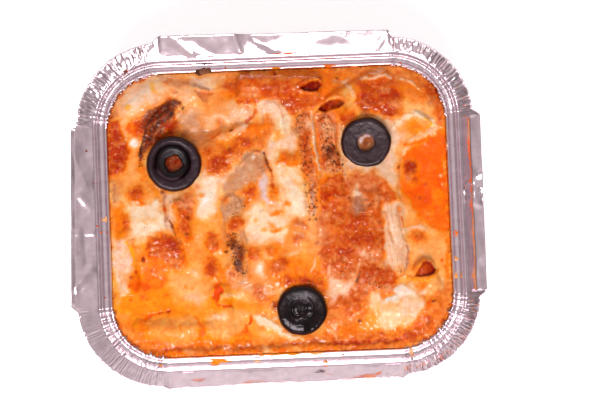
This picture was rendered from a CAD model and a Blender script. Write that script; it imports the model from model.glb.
"""Foil tray meal as in the photograph: a small foil tray of baked penne, chicken strips and olive slices.

Lengths are in millimetres until a mesh is made. +X is the meal's right side, +Y its back, +Z up. The food's
surface is one height and one colour worked out for any point, so that the bake and the strips in it match at
their edges.
"""

import math

import bpy
import numpy as np
from mathutils import Matrix, Quaternion, Vector


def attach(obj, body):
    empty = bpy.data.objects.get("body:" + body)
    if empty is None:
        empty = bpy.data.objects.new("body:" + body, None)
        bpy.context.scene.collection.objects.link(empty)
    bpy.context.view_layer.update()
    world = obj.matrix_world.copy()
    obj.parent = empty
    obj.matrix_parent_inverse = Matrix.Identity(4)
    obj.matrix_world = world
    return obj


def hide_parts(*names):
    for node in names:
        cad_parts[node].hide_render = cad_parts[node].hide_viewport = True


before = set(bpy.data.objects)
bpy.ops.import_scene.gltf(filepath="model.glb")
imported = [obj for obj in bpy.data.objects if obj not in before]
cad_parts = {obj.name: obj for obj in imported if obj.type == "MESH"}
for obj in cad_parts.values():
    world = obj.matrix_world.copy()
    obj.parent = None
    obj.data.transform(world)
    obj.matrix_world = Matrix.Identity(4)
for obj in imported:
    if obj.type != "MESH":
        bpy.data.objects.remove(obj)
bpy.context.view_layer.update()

MM = 0.001
rng = np.random.default_rng(2302)

# The tray's opening and rim, as in the solids
OPENING_CENTRE = (1.3, -1.0)
OPENING_HALF_X = 62.8
OPENING_HALF_Y = 52.6
OPENING_CORNER = 20.0
RIM_LEVEL = 33.2
FLANGE_ROOT = 5.6
# Flaps and corners, anticlockwise: how far past the opening they reach at their start and end, and their rise
FLAPS = {
    "right": (12.0, 12.3, 5.0),
    "back": (12.6, 13.4, 3.4),
    "left": (13.1, 15.0, 2.0),
    "front": (11.3, 10.6, 3.8),
}
CORNERS = {
    "back_right": (9.8, 10.0, 3.0),
    "back_left": (11.2, 11.0, 2.8),
    "front_left": (12.6, 10.4, 2.2),
    "front_right": (9.4, 9.8, 3.0),
}

# The bake's surface, as in the solids: x, y, radius in x, radius in y, rise
FOOD_LEVEL = 33.0
EDGE_ROUNDING = 5.0
SWELLS = (
    (6.0, 4.0, 46.0, 38.0, 4.2),
    (-42.0, 41.0, 17.0, 9.0, 2.4),
    (8.0, 42.0, 34.0, 8.0, 2.0),
    (46.0, 38.0, 16.0, 10.0, 2.8),
    (-8.3, 41.5, 6.5, 6.0, 2.6),
    (56.0, 4.0, 8.0, 24.0, -2.2),
    (-53.0, 20.0, 8.0, 14.0, -1.2),
    (-46.0, -8.0, 12.0, 10.0, 1.2),
    (-46.0, -27.0, 14.0, 8.0, -1.4),
    (46.0, -38.0, 18.0, 9.0, 1.8),
    (33.0, -12.0, 10.0, 24.0, 1.6),
    (-28.0, 5.0, 8.0, 16.0, 1.0),
    (2.0, -24.0, 12.0, 9.0, 1.5),
)

# Penne under the cheese: centre x, y, height of the axis over the food level, turn, tilt, length, and how
# softly the cheese drapes over them
PENNE_RADIUS = 4.7
PENNE = (
    (2.6, 45.4, 2.6, -5.0, 2.0, 27.0, 3.0),
    (31.8, 42.2, 0.6, 211.0, 10.0, 22.0, 4.0),
    (56.4, -31.0, -2.0, 112.0, 18.0, 16.0, 4.0),
    (-20.6, -39.6, -3.0, 97.0, 6.0, 21.0, 7.0),
    (-39.0, -44.0, -3.5, -4.0, 0.0, 27.0, 7.0),
    (45.5, -39.0, -3.2, 6.0, 0.0, 24.0, 6.0),
    (52.0, 26.0, -3.0, 60.0, 14.0, 12.0, 5.0),
    (-45.0, 42.5, -2.6, 32.0, 0.0, 19.0, 6.0),
    (-34.6, 44.8, -2.0, -17.0, 8.0, 20.0, 5.0),
    (-55.6, -17.5, -3.4, 92.0, 0.0, 20.0, 6.0),
)

# Chicken strips: centre line, width, thickness, rise over the bake, and the stretch of it that shows
STRIPS = {
    "chicken_strip_charred": (((-34.2, 40.4), (-39.5, 34.9), (-45.0, 28.4)), 9.0, 5.2, 1.6, (-0.1, 1.1)),
    "chicken_strip_left": (
        ((-37.3, 4.8), (-35.4, -3.0), (-34.3, -12.0), (-33.2, -21.0)), 8.0, 4.8, 1.2, (0.0, 0.62)),
    "chicken_strip_pale": (((-3.2, 19.2), (-8.0, 16.0), (-13.0, 11.6)), 8.4, 5.0, 1.4, (-0.1, 1.1)),
    "chicken_strip_peppered": (
        ((-16.4, 5.6), (-15.6, -6.0), (-14.6, -18.0), (-14.0, -29.4)), 8.6, 5.2, 1.6, (-0.1, 0.92)),
    "chicken_strip_centre": (
        ((-0.8, 39.6), (0.6, 30.0), (2.4, 20.0), (4.0, 8.0), (5.4, -4.0)), 9.2, 5.6, 1.1, (-0.1, 0.3)),
    "chicken_strip_seared": (
        ((12.0, 35.0), (12.9, 23.0), (13.9, 8.0), (14.5, -7.0), (15.2, -24.0)), 7.2, 5.2, 1.6, (-0.1, 0.62)),
    "chicken_strip_grilled": (
        ((19.4, 34.0), (20.7, 23.0), (22.0, 11.0), (22.4, -4.0), (22.5, -29.0)),
        7.2, 5.2, 1.6, (-0.1, 0.52)),
    "chicken_strip_crusted": (
        ((33.0, 9.2), (33.3, -5.0), (33.4, -19.0), (35.4, -31.5)), 11.6, 6.0, 1.8, (0.1, 0.3)),
    "chicken_strip_right": (
        ((42.6, 5.0), (44.2, -7.0), (45.0, -18.0), (45.3, -27.5)), 7.4, 5.2, 1.3, (0.1, 1.1)),
}

# Olive slices: x, y, radius, thickness, hole radius, cup depth, lean to the front and to the right in degrees.
# OLIVE_SINK is how deep they sit in the bake
OLIVES = {
    "olive_slice_left": (-37.1, 17.8, 10.3, 6.0, 3.0, 3.0, 7.0, 4.0),
    "olive_slice_right": (34.3, 22.9, 9.4, 4.6, 3.1, 0.5, 9.0, -3.0),
    "olive_slice_front": (8.1, -38.1, 9.3, 5.4, 0.0, 1.8, 5.0, 0.0),
}
OLIVE_SINK = 1.6

# Tones of the food as lit: red, green and blue out of 255, then how crusted it is
TONES = {
    "milk": (255, 233, 209, 0.0),
    "cream": (254, 217, 173, 0.0),
    "butter": (254, 202, 144, 0.05),
    "blush": (252, 203, 163, 0.05),
    "peach": (252, 180, 122, 0.1),
    "apricot": (255, 172, 95, 0.1),
    "yolk": (255, 160, 15, 0.05),
    "amber": (255, 150, 40, 0.1),
    "orange": (252, 124, 24, 0.2),
    "sauce": (255, 110, 6, 0.05),
    "flame": (240, 84, 4, 0.3),
    "tangerine": (244, 134, 60, 0.4),
    "salmon": (240, 142, 84, 0.8),
    "copper": (230, 108, 42, 0.8),
    "rust": (214, 84, 25, 1.0),
    "brick": (188, 66, 18, 1.0),
    "umber": (148, 66, 34, 0.9),
    "bark": (128, 64, 38, 1.0),
    "char": (72, 46, 38, 1.0),
    "tan": (214, 152, 106, 0.1),
    "fawn": (242, 194, 150, 0.05),
    "clay": (176, 114, 82, 0.3),
    "stone": (190, 156, 138, 0.2),
    "lilac": (236, 200, 186, 0.0),
    "hollow": (140, 38, 6, 0.1),
}

AREA, SPOT, LINE = "area", "spot", "line"

# Tones under the shapes: the cheese's own, a paler and a deeper one that a noise mixes in, the halo round browned
# places, and the food's rim at the wall
BASE_TONE = (250, 156, 70)
PALE_TONE = (255, 196, 122)
DEEP_TONE = (246, 122, 32)
HALO_TONE = (250, 130, 30)
EDGE_TONE = (206, 92, 34)

# Tones that a noise lays over the others: oil in the cheese's creases; dark and pale skin, shine and burnt
# points on the crust; ground pepper; foam along the wall and the dark dots in it. The last three are for the
# bake's hidden side and the loose flecks and crumbs
OIL_TONE = (254, 152, 52)
DARK_SKIN_TONE = (184, 66, 26)
PALE_SKIN_TONE = (244, 160, 114)
SHINE_TONE = (255, 206, 182)
BURNT_TONE = (140, 58, 24)
GROUND_PEPPER_TONE = (84, 48, 34)
FOAM_TONE = (255, 196, 116)
DOT_TONE = (140, 66, 30)
SIDE_TONE = (225.0, 118.0, 50.0)
PEPPER_TONE = (76.0, 50.0, 38.0)
CRUMB_TONE = (112.0, 72.0, 56.0)

# How far each channel swings with the mottling of the cheese and with the grain of the meat
MOTTLE_SWING = np.array((0.07, 0.3, 0.5))
GRAIN_SWING = np.array((0.6, 1.0, 1.3))

# A tone with more crust than this counts as browned: it has a halo and a ragged border
BROWNED = 0.7
# Spots smaller than this keep their place and outline
SMALL_SPOT = 1.3
# How far past its border a shape can still change the food
SHAPE_MARGIN = 4.0

# Light that spreads under the surface evens the tones out, so that they are set further from the middle one
MIDDLE_TONE = np.array((238.0, 140.0, 76.0))
CONTRAST = np.array((1.0, 1.1, 1.19))

# What lies on the bake, painted in this order: kind, tone, strength, softness of the edge, rise, and then
# the corners of an area, the centre, radii and turn of a spot, or the width and points of a line
FOOD = (
    # Sauce round the sides
    (AREA, "sauce", 1.0, 1.4, -0.3, (48, 20), (46.5, 8), (48, 0), (51, -6), (58, -9), (66, -12), (66, 26),
     (60, 26), (54, 23)),
    (AREA, "amber", 1.0, 3.0, 0.0, (-62, -18), (-30, -20), (-10, -34), (-10, -55), (-50, -55), (-63, -40)),
    (AREA, "tangerine", 0.9, 2.0, 0.0, (-22, 53), (-20, 47), (0, 46), (20, 47), (44, 44), (66, 30),
     (66, 53)),
    (AREA, "copper", 0.6, 1.6, 0.0, (-52, -48), (-30, -48.5), (0, -49), (24, -46), (46, -47), (46, -55),
     (-52, -55)),
    (LINE, "umber", 0.5, 1.0, -0.3, 1.4, (-48, -50.6), (-30, -50.8), (-10, -51), (10, -50.2), (30, -51),
     (44, -50.8)),
    (LINE, "orange", 0.8, 0.8, 0.4, 2.0, (-50, -52.6), (-34, -53), (-10, -53.4), (12, -52.6), (20, -53)),
    # Back left corner
    (AREA, "peach", 1.0, 1.4, 0.5, (-63, 53), (-36, 52), (-34, 45), (-38, 42), (-46, 38), (-52, 36),
     (-58, 35), (-63, 35)),
    (SPOT, "blush", 0.9, 2.0, 0.3, -49, 43.5, 7, 4, 15),
    (SPOT, "milk", 0.6, 0.8, 0.1, -51.5, 42.2, 1.3, 1.1, 0),
    (SPOT, "butter", 0.8, 1.6, 0.2, -42.5, 48.3, 4.5, 2.6, 0),
    (SPOT, "yolk", 0.95, 0.8, 0.0, -53, 39.7, 1.6, 1.5, 0),
    (SPOT, "yolk", 0.8, 0.8, 0.0, -43.6, 46, 1.8, 1.0, -30),
    (SPOT, "tan", 0.6, 1.6, 0.0, -41.5, 41.2, 3.6, 2.6, 30),
    (SPOT, "tangerine", 0.7, 1.8, 0.2, -33.5, 47.2, 3.8, 3.4, 0),
    (AREA, "peach", 0.9, 1.0, 0.2, (-39, 44.6), (-32, 45), (-28, 43), (-26, 40), (-30, 41.6), (-36, 43)),
    (AREA, "blush", 0.9, 1.2, 0.3, (-31, 50), (-24, 50.5), (-18, 47), (-21, 45), (-27, 45.5), (-30, 47)),
    (SPOT, "butter", 0.8, 1.2, 0.0, -20.5, 47.6, 3.2, 2.2, 0),
    (SPOT, "copper", 0.8, 0.6, 0.2, -39, 41.6, 1.5, 1.2, 20),
    (SPOT, "brick", 0.7, 0.4, 0.2, -35.6, 44, 1.0, 0.4, 0),
    (SPOT, "copper", 0.7, 0.6, 0.1, -38.6, 48.2, 0.8, 0.6, 0),
    (LINE, "copper", 0.8, 0.8, 0.3, 1.5, (-61, 34), (-60, 39), (-57.6, 43.4), (-54, 46.8), (-50, 49.4),
     (-45, 51)),
    (SPOT, "umber", 0.6, 1.0, 0.2, -59.2, 37, 1.2, 2.6, -10),
    # Browned left side
    (AREA, "apricot", 0.9, 1.4, 0.0, (-56, 34), (-51, 33), (-49, 27), (-50, 12), (-57, 10), (-60, 14)),
    (AREA, "rust", 1.0, 0.8, 0.5, (-63, 34.5), (-56.5, 35), (-56, 30), (-54.2, 26.5), (-54, 23),
     (-55.6, 18), (-57.4, 15), (-63, 13.5)),
    (SPOT, "brick", 0.8, 1.2, 0.2, -56.8, 21.5, 2.2, 5.4, -8),
    (LINE, "peach", 0.8, 0.7, 0.1, 1.1, (-56, 34.5), (-55, 31), (-54.4, 28)),
    (SPOT, "flame", 0.8, 0.9, 0.2, -51.3, 31.6, 2.6, 3.2, 0),
    (SPOT, "milk", 0.9, 0.7, 0.4, -50.2, 26.6, 1.5, 2.0, 10),
    (SPOT, "tan", 0.6, 1.2, 0.0, -59.5, 8, 2.4, 5, 0),
    (LINE, "clay", 0.6, 0.7, -0.1, 0.9, (-60.3, 13), (-59.6, 9), (-60, 5)),
    # Charred strip
    (AREA, "rust", 0.9, 0.7, 0.0, (-51, 34), (-48, 37), (-44, 38), (-38, 40.5), (-36, 34), (-37, 29),
     (-43, 26), (-48, 24), (-50, 29)),
    (AREA, "umber", 1.0, 0.5, 0.2, (-48.5, 36.5), (-46, 38.6), (-42, 38.8), (-38, 41.2), (-33.2, 40.8),
     (-35.4, 37.6), (-38, 33.6),
     (-40, 29.4), (-44, 26.5), (-47.5, 23), (-50, 18), (-49.6, 23), (-47.6, 28), (-49, 32)),
    (LINE, "bark", 0.9, 0.8, 0.1, 3.4, (-45.5, 35.6), (-41, 38), (-36.5, 40)),
    (LINE, "char", 0.8, 0.7, 0.1, 2.0, (-42, 34.6), (-38.8, 37.6)),
    (LINE, "bark", 0.8, 0.7, 0.1, 2.2, (-43, 30.5), (-39.6, 34.5), (-37, 36.6)),
    (LINE, "clay", 0.9, 0.35, 0.1, 0.6, (-45, 30.6), (-42, 33.6), (-39, 35.8)),
    (LINE, "clay", 0.8, 0.35, 0.1, 0.5, (-41, 29.6), (-39, 32.6), (-37.4, 34.4)),
    (SPOT, "brick", 0.9, 0.8, 0.0, -37.2, 32, 2.2, 2.4, 0),
    (LINE, "bark", 0.8, 0.6, 0.1, 1.6, (-47.4, 27), (-48.6, 23.6), (-49.6, 20)),
    (LINE, "char", 0.9, 0.4, 0.1, 1.1, (-34.2, 40.4), (-38, 39.2), (-42.7, 36.8), (-47, 32.2)),
    (LINE, "char", 0.8, 0.4, -0.1, 0.9, (-35.6, 38.4), (-39.6, 34.4), (-43.6, 30.6), (-46.4, 26.8)),
    (LINE, "char", 0.8, 0.4, -0.1, 0.7, (-38, 36.6), (-41.6, 33.4), (-45.4, 30.4)),
    (LINE, "char", 0.9, 0.4, 0.0, 1.0, (-47.8, 30.6), (-49, 26), (-49.4, 21)),
    (LINE, "salmon", 0.6, 0.4, 0.1, 0.6, (-37.4, 35), (-41, 31.6), (-44.6, 28)),
    (SPOT, "stone", 0.7, 0.4, 0.2, -47.9, 27.4, 0.5, 0.4, 0),
    # Between the charred strip and the middle
    (AREA, "fawn", 0.9, 1.2, 0.4, (-35, 36), (-31, 39.5), (-22, 39), (-14, 41), (-6, 38.5), (-5.6, 36),
     (-9, 32.5), (-20, 33), (-34, 31)),
    (SPOT, "tan", 0.8, 1.2, 0.0, -30.5, 34, 3.4, 2.6, 0),
    (SPOT, "tan", 0.6, 1.4, 0.0, -8.4, 36.6, 3.0, 1.8, 20),
    (SPOT, "orange", 0.7, 1.4, 0.1, -24.6, 37.4, 4.6, 2.4, 0),
    (SPOT, "orange", 0.5, 1.2, 0.0, -18.4, 37.2, 3.6, 2.0, 0),
    (SPOT, "amber", 0.8, 0.8, 0.0, -29, 39.9, 3.4, 1.0, -8),
    (SPOT, "orange", 0.7, 1.0, 0.1, -25.6, 33.4, 2.4, 1.4, 0),
    (AREA, "clay", 0.8, 1.4, -0.5, (-36, 32.6), (-31, 31.4), (-20, 31.6), (-10, 33), (-8, 31.6), (-14, 30),
     (-22, 26.6), (-29, 24), (-33, 28)),
    (SPOT, "umber", 0.5, 1.4, -0.2, -33, 28, 2.6, 2.0, 0),
    (LINE, "rust", 0.9, 0.6, -0.4, 1.3, (-10, 31.8), (-7.6, 33.8), (-5.6, 36.4)),
    (LINE, "blush", 0.95, 0.8, 0.5, 2.6, (-24, 24.6), (-20, 27), (-15, 28.2), (-10, 30.4)),
    (SPOT, "char", 0.8, 0.4, 0.2, -15.4, 29.4, 0.8, 0.4, 25),
    # Pocket with a tube's end
    (AREA, "brick", 1.0, 0.5, -1.6, (-28.4, 44.8), (-27, 41.8), (-25.2, 40.2), (-23.6, 41), (-22, 43.4),
     (-22.4, 44.4), (-25.4, 44)),
    (LINE, "clay", 0.7, 0.6, 0.2, 1.0, (-28.6, 46), (-26, 45.2), (-22, 45.2), (-19.6, 44.4)),
    # Back middle
    (AREA, "copper", 0.95, 0.9, 0.2, (-20, 45), (-16, 48), (-5, 48), (8, 47.4), (18.5, 46), (20, 41),
     (16, 36), (8, 34.4), (3, 39),
     (-3, 40.4), (-5, 38.4), (-9, 38.5), (-13, 41)),
    (AREA, "orange", 0.8, 1.2, 0.2, (-30, 41), (-20, 45), (-15, 44), (-13, 41), (-18, 39), (-26, 38)),
    (SPOT, "brick", 0.7, 1.6, 0.0, 0.6, 43.4, 4.6, 2.4, -8),
    (SPOT, "rust", 0.9, 1.2, 0.0, 6.6, 38, 4.0, 3.0, -30),
    (SPOT, "umber", 0.45, 1.0, 0.0, 4, 37.8, 2.2, 2.0, 0),
    (SPOT, "rust", 0.7, 1.0, 0.1, -14.6, 45.4, 3.4, 2.2, 0),
    (SPOT, "flame", 0.5, 1.0, 0.0, -8, 47.6, 3.0, 1.0, 0),
    (SPOT, "rust", 0.6, 1.0, 0.1, -9, 50, 1.8, 0.7, -35),
    (SPOT, "salmon", 0.9, 0.9, 0.9, -8, 43, 4.4, 2.4, 8),
    (SPOT, "blush", 0.7, 0.7, 0.2, -6.4, 41.8, 2.4, 0.9, 12),
    (LINE, "rust", 0.9, 0.5, -0.3, 1.1, (-12.4, 40.4), (-9.4, 38.8), (-6.2, 39.6)),
    (AREA, "orange", 0.9, 1.2, 0.4, (-6, 50.5), (6, 50.6), (20, 52.4), (24, 51), (30, 48), (20, 47),
     (8, 48), (-4, 48.6)),
    (AREA, "orange", 0.9, 1.0, 0.2, (17, 41), (19, 47), (24, 48), (27, 44), (27, 40), (22, 39.4)),
    (SPOT, "umber", 0.9, 0.35, 0.2, 1.6, 49.8, 0.5, 1.0, 15),
    (AREA, "hollow", 1.0, 0.5, -2.4, (10.6, 43.6), (13, 44.8), (15.6, 46.2), (17.8, 46.6), (18.5, 44.6),
     (17.2, 42.4), (14.4, 42.3), (12, 42.9)),
    (LINE, "brick", 0.7, 0.6, 0.1, 0.9, (10, 45.4), (14, 47), (18, 47.6)),
    (LINE, "tangerine", 0.8, 0.5, 0.3, 0.8, (10.6, 42), (14, 41.4), (17.6, 41.5), (19.4, 43.6)),
    # Second open tube and the back right corner
    (AREA, "tangerine", 0.8, 1.2, 0.2, (24, 51), (48, 51), (58, 45), (64, 38), (64, 28), (58, 36),
     (48, 40), (30, 48)),
    (SPOT, "stone", 0.7, 0.7, 0.1, 25.9, 46.9, 2.0, 0.9, -20),
    (SPOT, "umber", 0.8, 0.5, 0.1, 24.6, 47.2, 0.8, 0.6, -30),
    (LINE, "fawn", 0.8, 0.6, 0.3, 1.6, (27.4, 45.6), (29.4, 42.6), (31.4, 39), (31.8, 36)),
    (AREA, "rust", 0.9, 1.4, 0.1, (32, 45.6), (38, 46), (45, 46), (49, 43), (48, 37), (47, 33), (43, 31),
     (40, 34), (35, 35), (32, 37)),
    (SPOT, "brick", 0.8, 1.4, 0.0, 35, 38.6, 3.0, 2.6, 0),
    (SPOT, "brick", 0.7, 1.2, 0.0, 45, 39, 3.4, 2.0, 20),
    (SPOT, "brick", 0.7, 1.2, 0.0, 43.4, 33.4, 2.8, 1.8, 0),
    (SPOT, "umber", 0.6, 1.2, 0.0, 34.4, 34.6, 1.6, 2.4, 0),
    (SPOT, "salmon", 0.7, 1.2, 0.2, 41.6, 42, 3.4, 1.4, 10),
    (SPOT, "peach", 0.7, 1.0, 0.2, 46.5, 36.4, 2.4, 1.0, 0),
    (SPOT, "orange", 0.7, 1.2, 0.1, 47.6, 43, 2.6, 2.0, -20),
    (SPOT, "orange", 0.8, 1.0, 0.1, 52, 43, 3.0, 1.6, -30),
    (LINE, "fawn", 0.8, 0.5, 0.4, 0.9, (46.6, 47), (50, 45.6), (53.6, 43.4), (55, 42)),
    (LINE, "blush", 0.8, 0.5, 0.3, 1.1, (33, 46.8), (37, 46.4), (41, 47.4), (44, 47)),
    (SPOT, "blush", 0.7, 0.8, 0.3, 39.6, 48, 1.8, 1.0, 0),
    (AREA, "copper", 0.8, 1.0, 0.4, (54, 46), (60, 43), (64, 42), (64, 28), (61, 28), (60, 36), (56, 40)),
    (SPOT, "clay", 0.5, 0.9, 0.2, 58.6, 36.4, 1.4, 2.6, 20),
    (LINE, "rust", 0.8, 0.7, 0.2, 1.2, (57, 42.6), (61.4, 41), (62.6, 36), (62.4, 30)),
    (AREA, "hollow", 1.0, 0.5, -2.6, (17.2, 35.9), (18.6, 37.6), (21.6, 38.9), (25, 38.9), (26.6, 37.6),
     (25, 36), (22, 35.1), (19, 35)),
    (SPOT, "umber", 0.8, 0.9, -0.5, 26, 37.4, 1.8, 1.4, 0),
    (LINE, "tangerine", 0.9, 0.5, 0.4, 0.9, (17, 37.4), (20, 39.8), (25, 40.2), (28.2, 38)),
    (LINE, "orange", 0.8, 0.5, 0.3, 0.9, (16.6, 35.2), (19.4, 34.2), (24, 34.8)),
    # Ring of cheese over a standing tube
    (AREA, "apricot", 0.9, 1.4, 0.2, (46, 33), (54, 35.6), (60, 32), (61.6, 27), (58, 24), (52, 21),
     (46, 17), (45, 27)),
    (SPOT, "amber", 0.9, 1.0, -0.6, 52.6, 27.6, 3.8, 3.0, -25),
    (SPOT, "flame", 0.5, 0.7, -0.2, 53.6, 28.8, 1.6, 0.9, 0),
    (LINE, "cream", 0.9, 1.3, 0.6, 2.4, (46, 29), (49, 32), (54, 33.2), (58.4, 31), (60.2, 27.4),
     (58, 25.2)),
    (LINE, "cream", 0.85, 1.2, 0.5, 2.0, (58, 25.2), (54, 24.6), (50, 22.4), (48.6, 19)),
    (LINE, "yolk", 0.7, 0.6, 0.1, 1.0, (56.6, 27), (59, 28.6), (57.4, 31)),
    (SPOT, "blush", 0.9, 1.2, 0.2, 46, 25.4, 2.6, 4.4, -10),
    (LINE, "sauce", 0.8, 0.8, 0.0, 1.4, (49, 21.6), (53, 22.8), (58, 24)),
    # Centre strip under cheese
    (AREA, "butter", 0.95, 1.0, 0.2, (-4.6, 34.5), (-3, 38.8), (-0.6, 40.4), (2.4, 38.2), (5, 35.4),
     (8, 31), (9, 22), (9.8, 15), (11.6, 11),
     (12, 5), (13.4, 0), (13.4, -4.4), (4, -4.6), (0, 3), (-1.2, 8), (-2.4, 20), (-5, 30)),
    (AREA, "blush", 0.95, 0.8, 0.2, (-4.6, 34.6), (-3.4, 38), (-2.2, 39.9), (-0.4, 40.4), (1.2, 39.6),
     (3, 37.2), (6, 35), (3, 34), (-2, 33.6)),
    (SPOT, "cream", 0.8, 1.2, 0.2, 5.6, 32, 2.4, 3.0, 20),
    (SPOT, "amber", 0.6, 0.9, 0.0, 2.6, 26.4, 2.2, 2.6, 0),
    (AREA, "blush", 0.8, 1.0, 0.2, (-3.4, 25), (2, 24), (5.6, 28), (8.6, 27), (8.8, 21), (0, 21.6),
     (-2.4, 16), (-0.4, 8), (-1.8, 12)),
    (AREA, "cream", 1.0, 1.0, 0.2, (4, 13.6), (9.4, 15), (11.4, 11), (11.8, 5), (13.2, 0), (13, -4),
     (6, -4), (5, 4), (1, 12)),
    (SPOT, "amber", 0.5, 1.2, 0.0, 9.4, 8.4, 1.6, 2.0, 0),
    # Browned streak across the middle
    (AREA, "tangerine", 1.0, 1.0, 0.4, (-1, 34), (1.2, 33), (1.6, 29), (-1.4, 26.4), (-5.6, 24),
     (-7.4, 20.4), (-12, 18), (-16, 15.4),
     (-20, 12.6), (-26, 12.6), (-29, 15), (-29, 22), (-22, 25.6), (-14, 26.6), (-10, 29.4), (-6, 31.6)),
    (SPOT, "rust", 0.95, 0.9, 0.5, -20.6, 17, 4.4, 3.4, 10),
    (SPOT, "rust", 0.9, 0.8, 0.4, -10.2, 24.6, 2.4, 2.0, 0),
    (SPOT, "rust", 0.9, 0.9, 0.4, -16.6, 21.6, 3.2, 2.2, 15),
    (SPOT, "copper", 0.9, 0.8, 0.4, -24.4, 21.6, 2.6, 2.2, 0),
    (SPOT, "copper", 0.9, 0.9, 0.4, -22, 27.8, 2.8, 1.2, 20),
    (SPOT, "orange", 0.9, 0.9, 0.3, -4.6, 29.6, 4.6, 2.0, 12),
    (SPOT, "rust", 0.7, 0.7, 0.2, -13.4, 25.4, 1.6, 1.2, 0),
    (SPOT, "salmon", 0.8, 0.7, 0.2, -13, 20, 1.6, 1.2, 0),
    (SPOT, "amber", 0.8, 0.9, 0.1, -19, 25, 3.6, 0.9, 15),
    (SPOT, "blush", 0.8, 0.8, 0.2, -16, 17.6, 1.6, 0.9, 20),
    (SPOT, "umber", 0.8, 0.5, 0.1, -16.4, 22.2, 0.6, 0.5, 0),
    # Pale strip and the cheese round it
    (AREA, "blush", 0.9, 1.0, 0.2, (-26, 12.6), (-19, 12.6), (-13, 16), (-8, 20.6), (-3, 24), (-3.4, 20.6),
     (-8, 19), (-13, 14), (-19, 9), (-26, 10)),
    (AREA, "tan", 1.0, 0.6, 0.0, (-3.8, 20.2), (-2.8, 14), (-3.6, 12.4), (-7, 11), (-8, 9.6), (-12, 6.4),
     (-16, 6), (-19.4, 8.6), (-17.6, 12),
     (-13, 15), (-10.6, 18.4), (-7.6, 20.2)),
    (SPOT, "fawn", 0.5, 1.2, 0.0, -10, 14, 3.0, 1.2, 40),
    (SPOT, "clay", 0.5, 0.9, 0.0, -4, 15.6, 1.0, 3.6, -8),
    (SPOT, "milk", 0.8, 0.3, 0.1, -7.6, 18.8, 0.9, 0.4, 15),
    (LINE, "bark", 0.9, 0.4, -0.9, 0.9, (-3.2, 20.8), (-2.4, 17), (-1.9, 13.4)),
    (LINE, "rust", 0.8, 0.5, -0.4, 0.8, (-1.9, 13.4), (-1.2, 10), (-0.8, 8)),
    (AREA, "lilac", 0.95, 0.9, 0.1, (-6.6, 10.6), (-3, 12.6), (-2, 9), (-1.6, 5), (0, 3), (2.4, 1.2),
     (-2.6, 1.2), (-5, 4), (-6.6, 7.6)),
    (SPOT, "stone", 0.35, 0.7, 0.0, -3.4, 6.8, 1.6, 1.0, 20),
    (AREA, "copper", 0.95, 0.8, 0.5, (-12, 6), (-9, 8.4), (-6.8, 7.6), (-6.8, 4.6), (-8.8, 2.4),
     (-11.4, 0.8), (-11, 3.4)),
    (SPOT, "rust", 0.8, 0.7, 0.2, -9.4, 6, 1.8, 1.4, 10),
    (SPOT, "orange", 0.95, 0.8, 0.5, 0.6, 5.6, 1.9, 2.9, 0),
    (SPOT, "rust", 0.7, 0.6, 0.1, -0.6, 7.4, 0.7, 1.6, 0),
    (SPOT, "amber", 0.8, 0.8, 0.1, -4.6, 2.4, 1.4, 0.9, 0),
    # Pale middle
    (AREA, "cream", 0.9, 1.2, 0.2, (-12, -1), (-6, 4), (-3, 0.6), (3, 0), (5, -5), (3, -13), (-4, -15),
     (-8, -12), (-11.6, -12)),
    (SPOT, "peach", 0.7, 1.6, 0.0, -1.4, -0.6, 3.6, 1.4, -6),
    (SPOT, "blush", 0.7, 1.8, 0.0, -9, -11, 2.4, 4.0, 0),
    (SPOT, "stone", 0.4, 0.7, 0.0, -5.6, -1, 0.7, 0.6, 0),
    (SPOT, "amber", 0.5, 0.8, 0.0, -7.6, -4.4, 1.2, 0.8, 0),
    (SPOT, "orange", 0.95, 0.6, 0.2, 4.3, 0.8, 1.5, 1.1, 0),
    (SPOT, "orange", 0.95, 0.7, 0.2, 1.2, -2.2, 2.0, 1.2, -10),
    (SPOT, "orange", 0.85, 0.7, 0.1, -0.5, -8.2, 1.6, 1.1, 0),
    (SPOT, "amber", 0.6, 0.7, 0.0, -4.6, -8, 1.2, 0.8, 0),
    (SPOT, "amber", 0.7, 0.7, 0.0, 3.6, -7, 1.6, 0.8, 10),
    (SPOT, "orange", 1.0, 0.9, 0.7, 5.2, 17.4, 4.2, 2.8, -5),
    (SPOT, "copper", 0.8, 0.9, 0.2, 6.4, 18.2, 2.2, 1.6, 0),
    (LINE, "blush", 0.9, 0.5, 0.1, 0.8, (1.4, 15.4), (3, 13.8), (4.8, 14.4), (4.2, 15.8), (2.2, 16.2)),
    (SPOT, "amber", 0.7, 0.9, 0.1, 9.4, 18, 1.4, 2.4, 0),
    (AREA, "orange", 0.9, 0.9, 0.4, (4.6, -9), (5.4, -6), (7.6, -4.8), (11.6, -4.2), (13.6, -4.6),
     (13, -8), (11.4, -12), (8.6, -14), (4.6, -13.6)),
    (SPOT, "brick", 0.8, 0.8, 0.2, 9.2, -7, 2.8, 1.8, -35),
    (SPOT, "rust", 0.9, 0.8, 0.3, 8, -11.6, 2.2, 1.8, 20),
    (LINE, "lilac", 0.8, 0.3, 0.2, 0.4, (6.6, -9.6), (9, -10), (10.4, -10.8)),
    (LINE, "salmon", 0.8, 0.3, 0.2, 0.4, (7.4, -7), (9.4, -8), (11, -8.2)),
    # Round the front olive
    (AREA, "orange", 0.75, 1.6, 0.1, (-4, -15), (6, -15), (14, -12), (17, -24), (17, -32), (2, -30),
     (-6, -22)),
    (SPOT, "milk", 0.9, 1.2, 0.3, -6.8, -22.6, 2.2, 3.2, 10),
    (SPOT, "cream", 0.9, 1.0, 0.2, 4.4, -16.6, 3.4, 0.9, 10),
    (SPOT, "cream", 0.9, 0.9, 0.2, -3.8, -17.4, 1.4, 2.0, 30),
    (SPOT, "copper", 0.9, 0.8, 0.4, -9, -16.6, 2.6, 2.6, 0),
    (SPOT, "rust", 0.7, 0.7, 0.2, -10, -17.6, 1.2, 1.0, 0),
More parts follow.
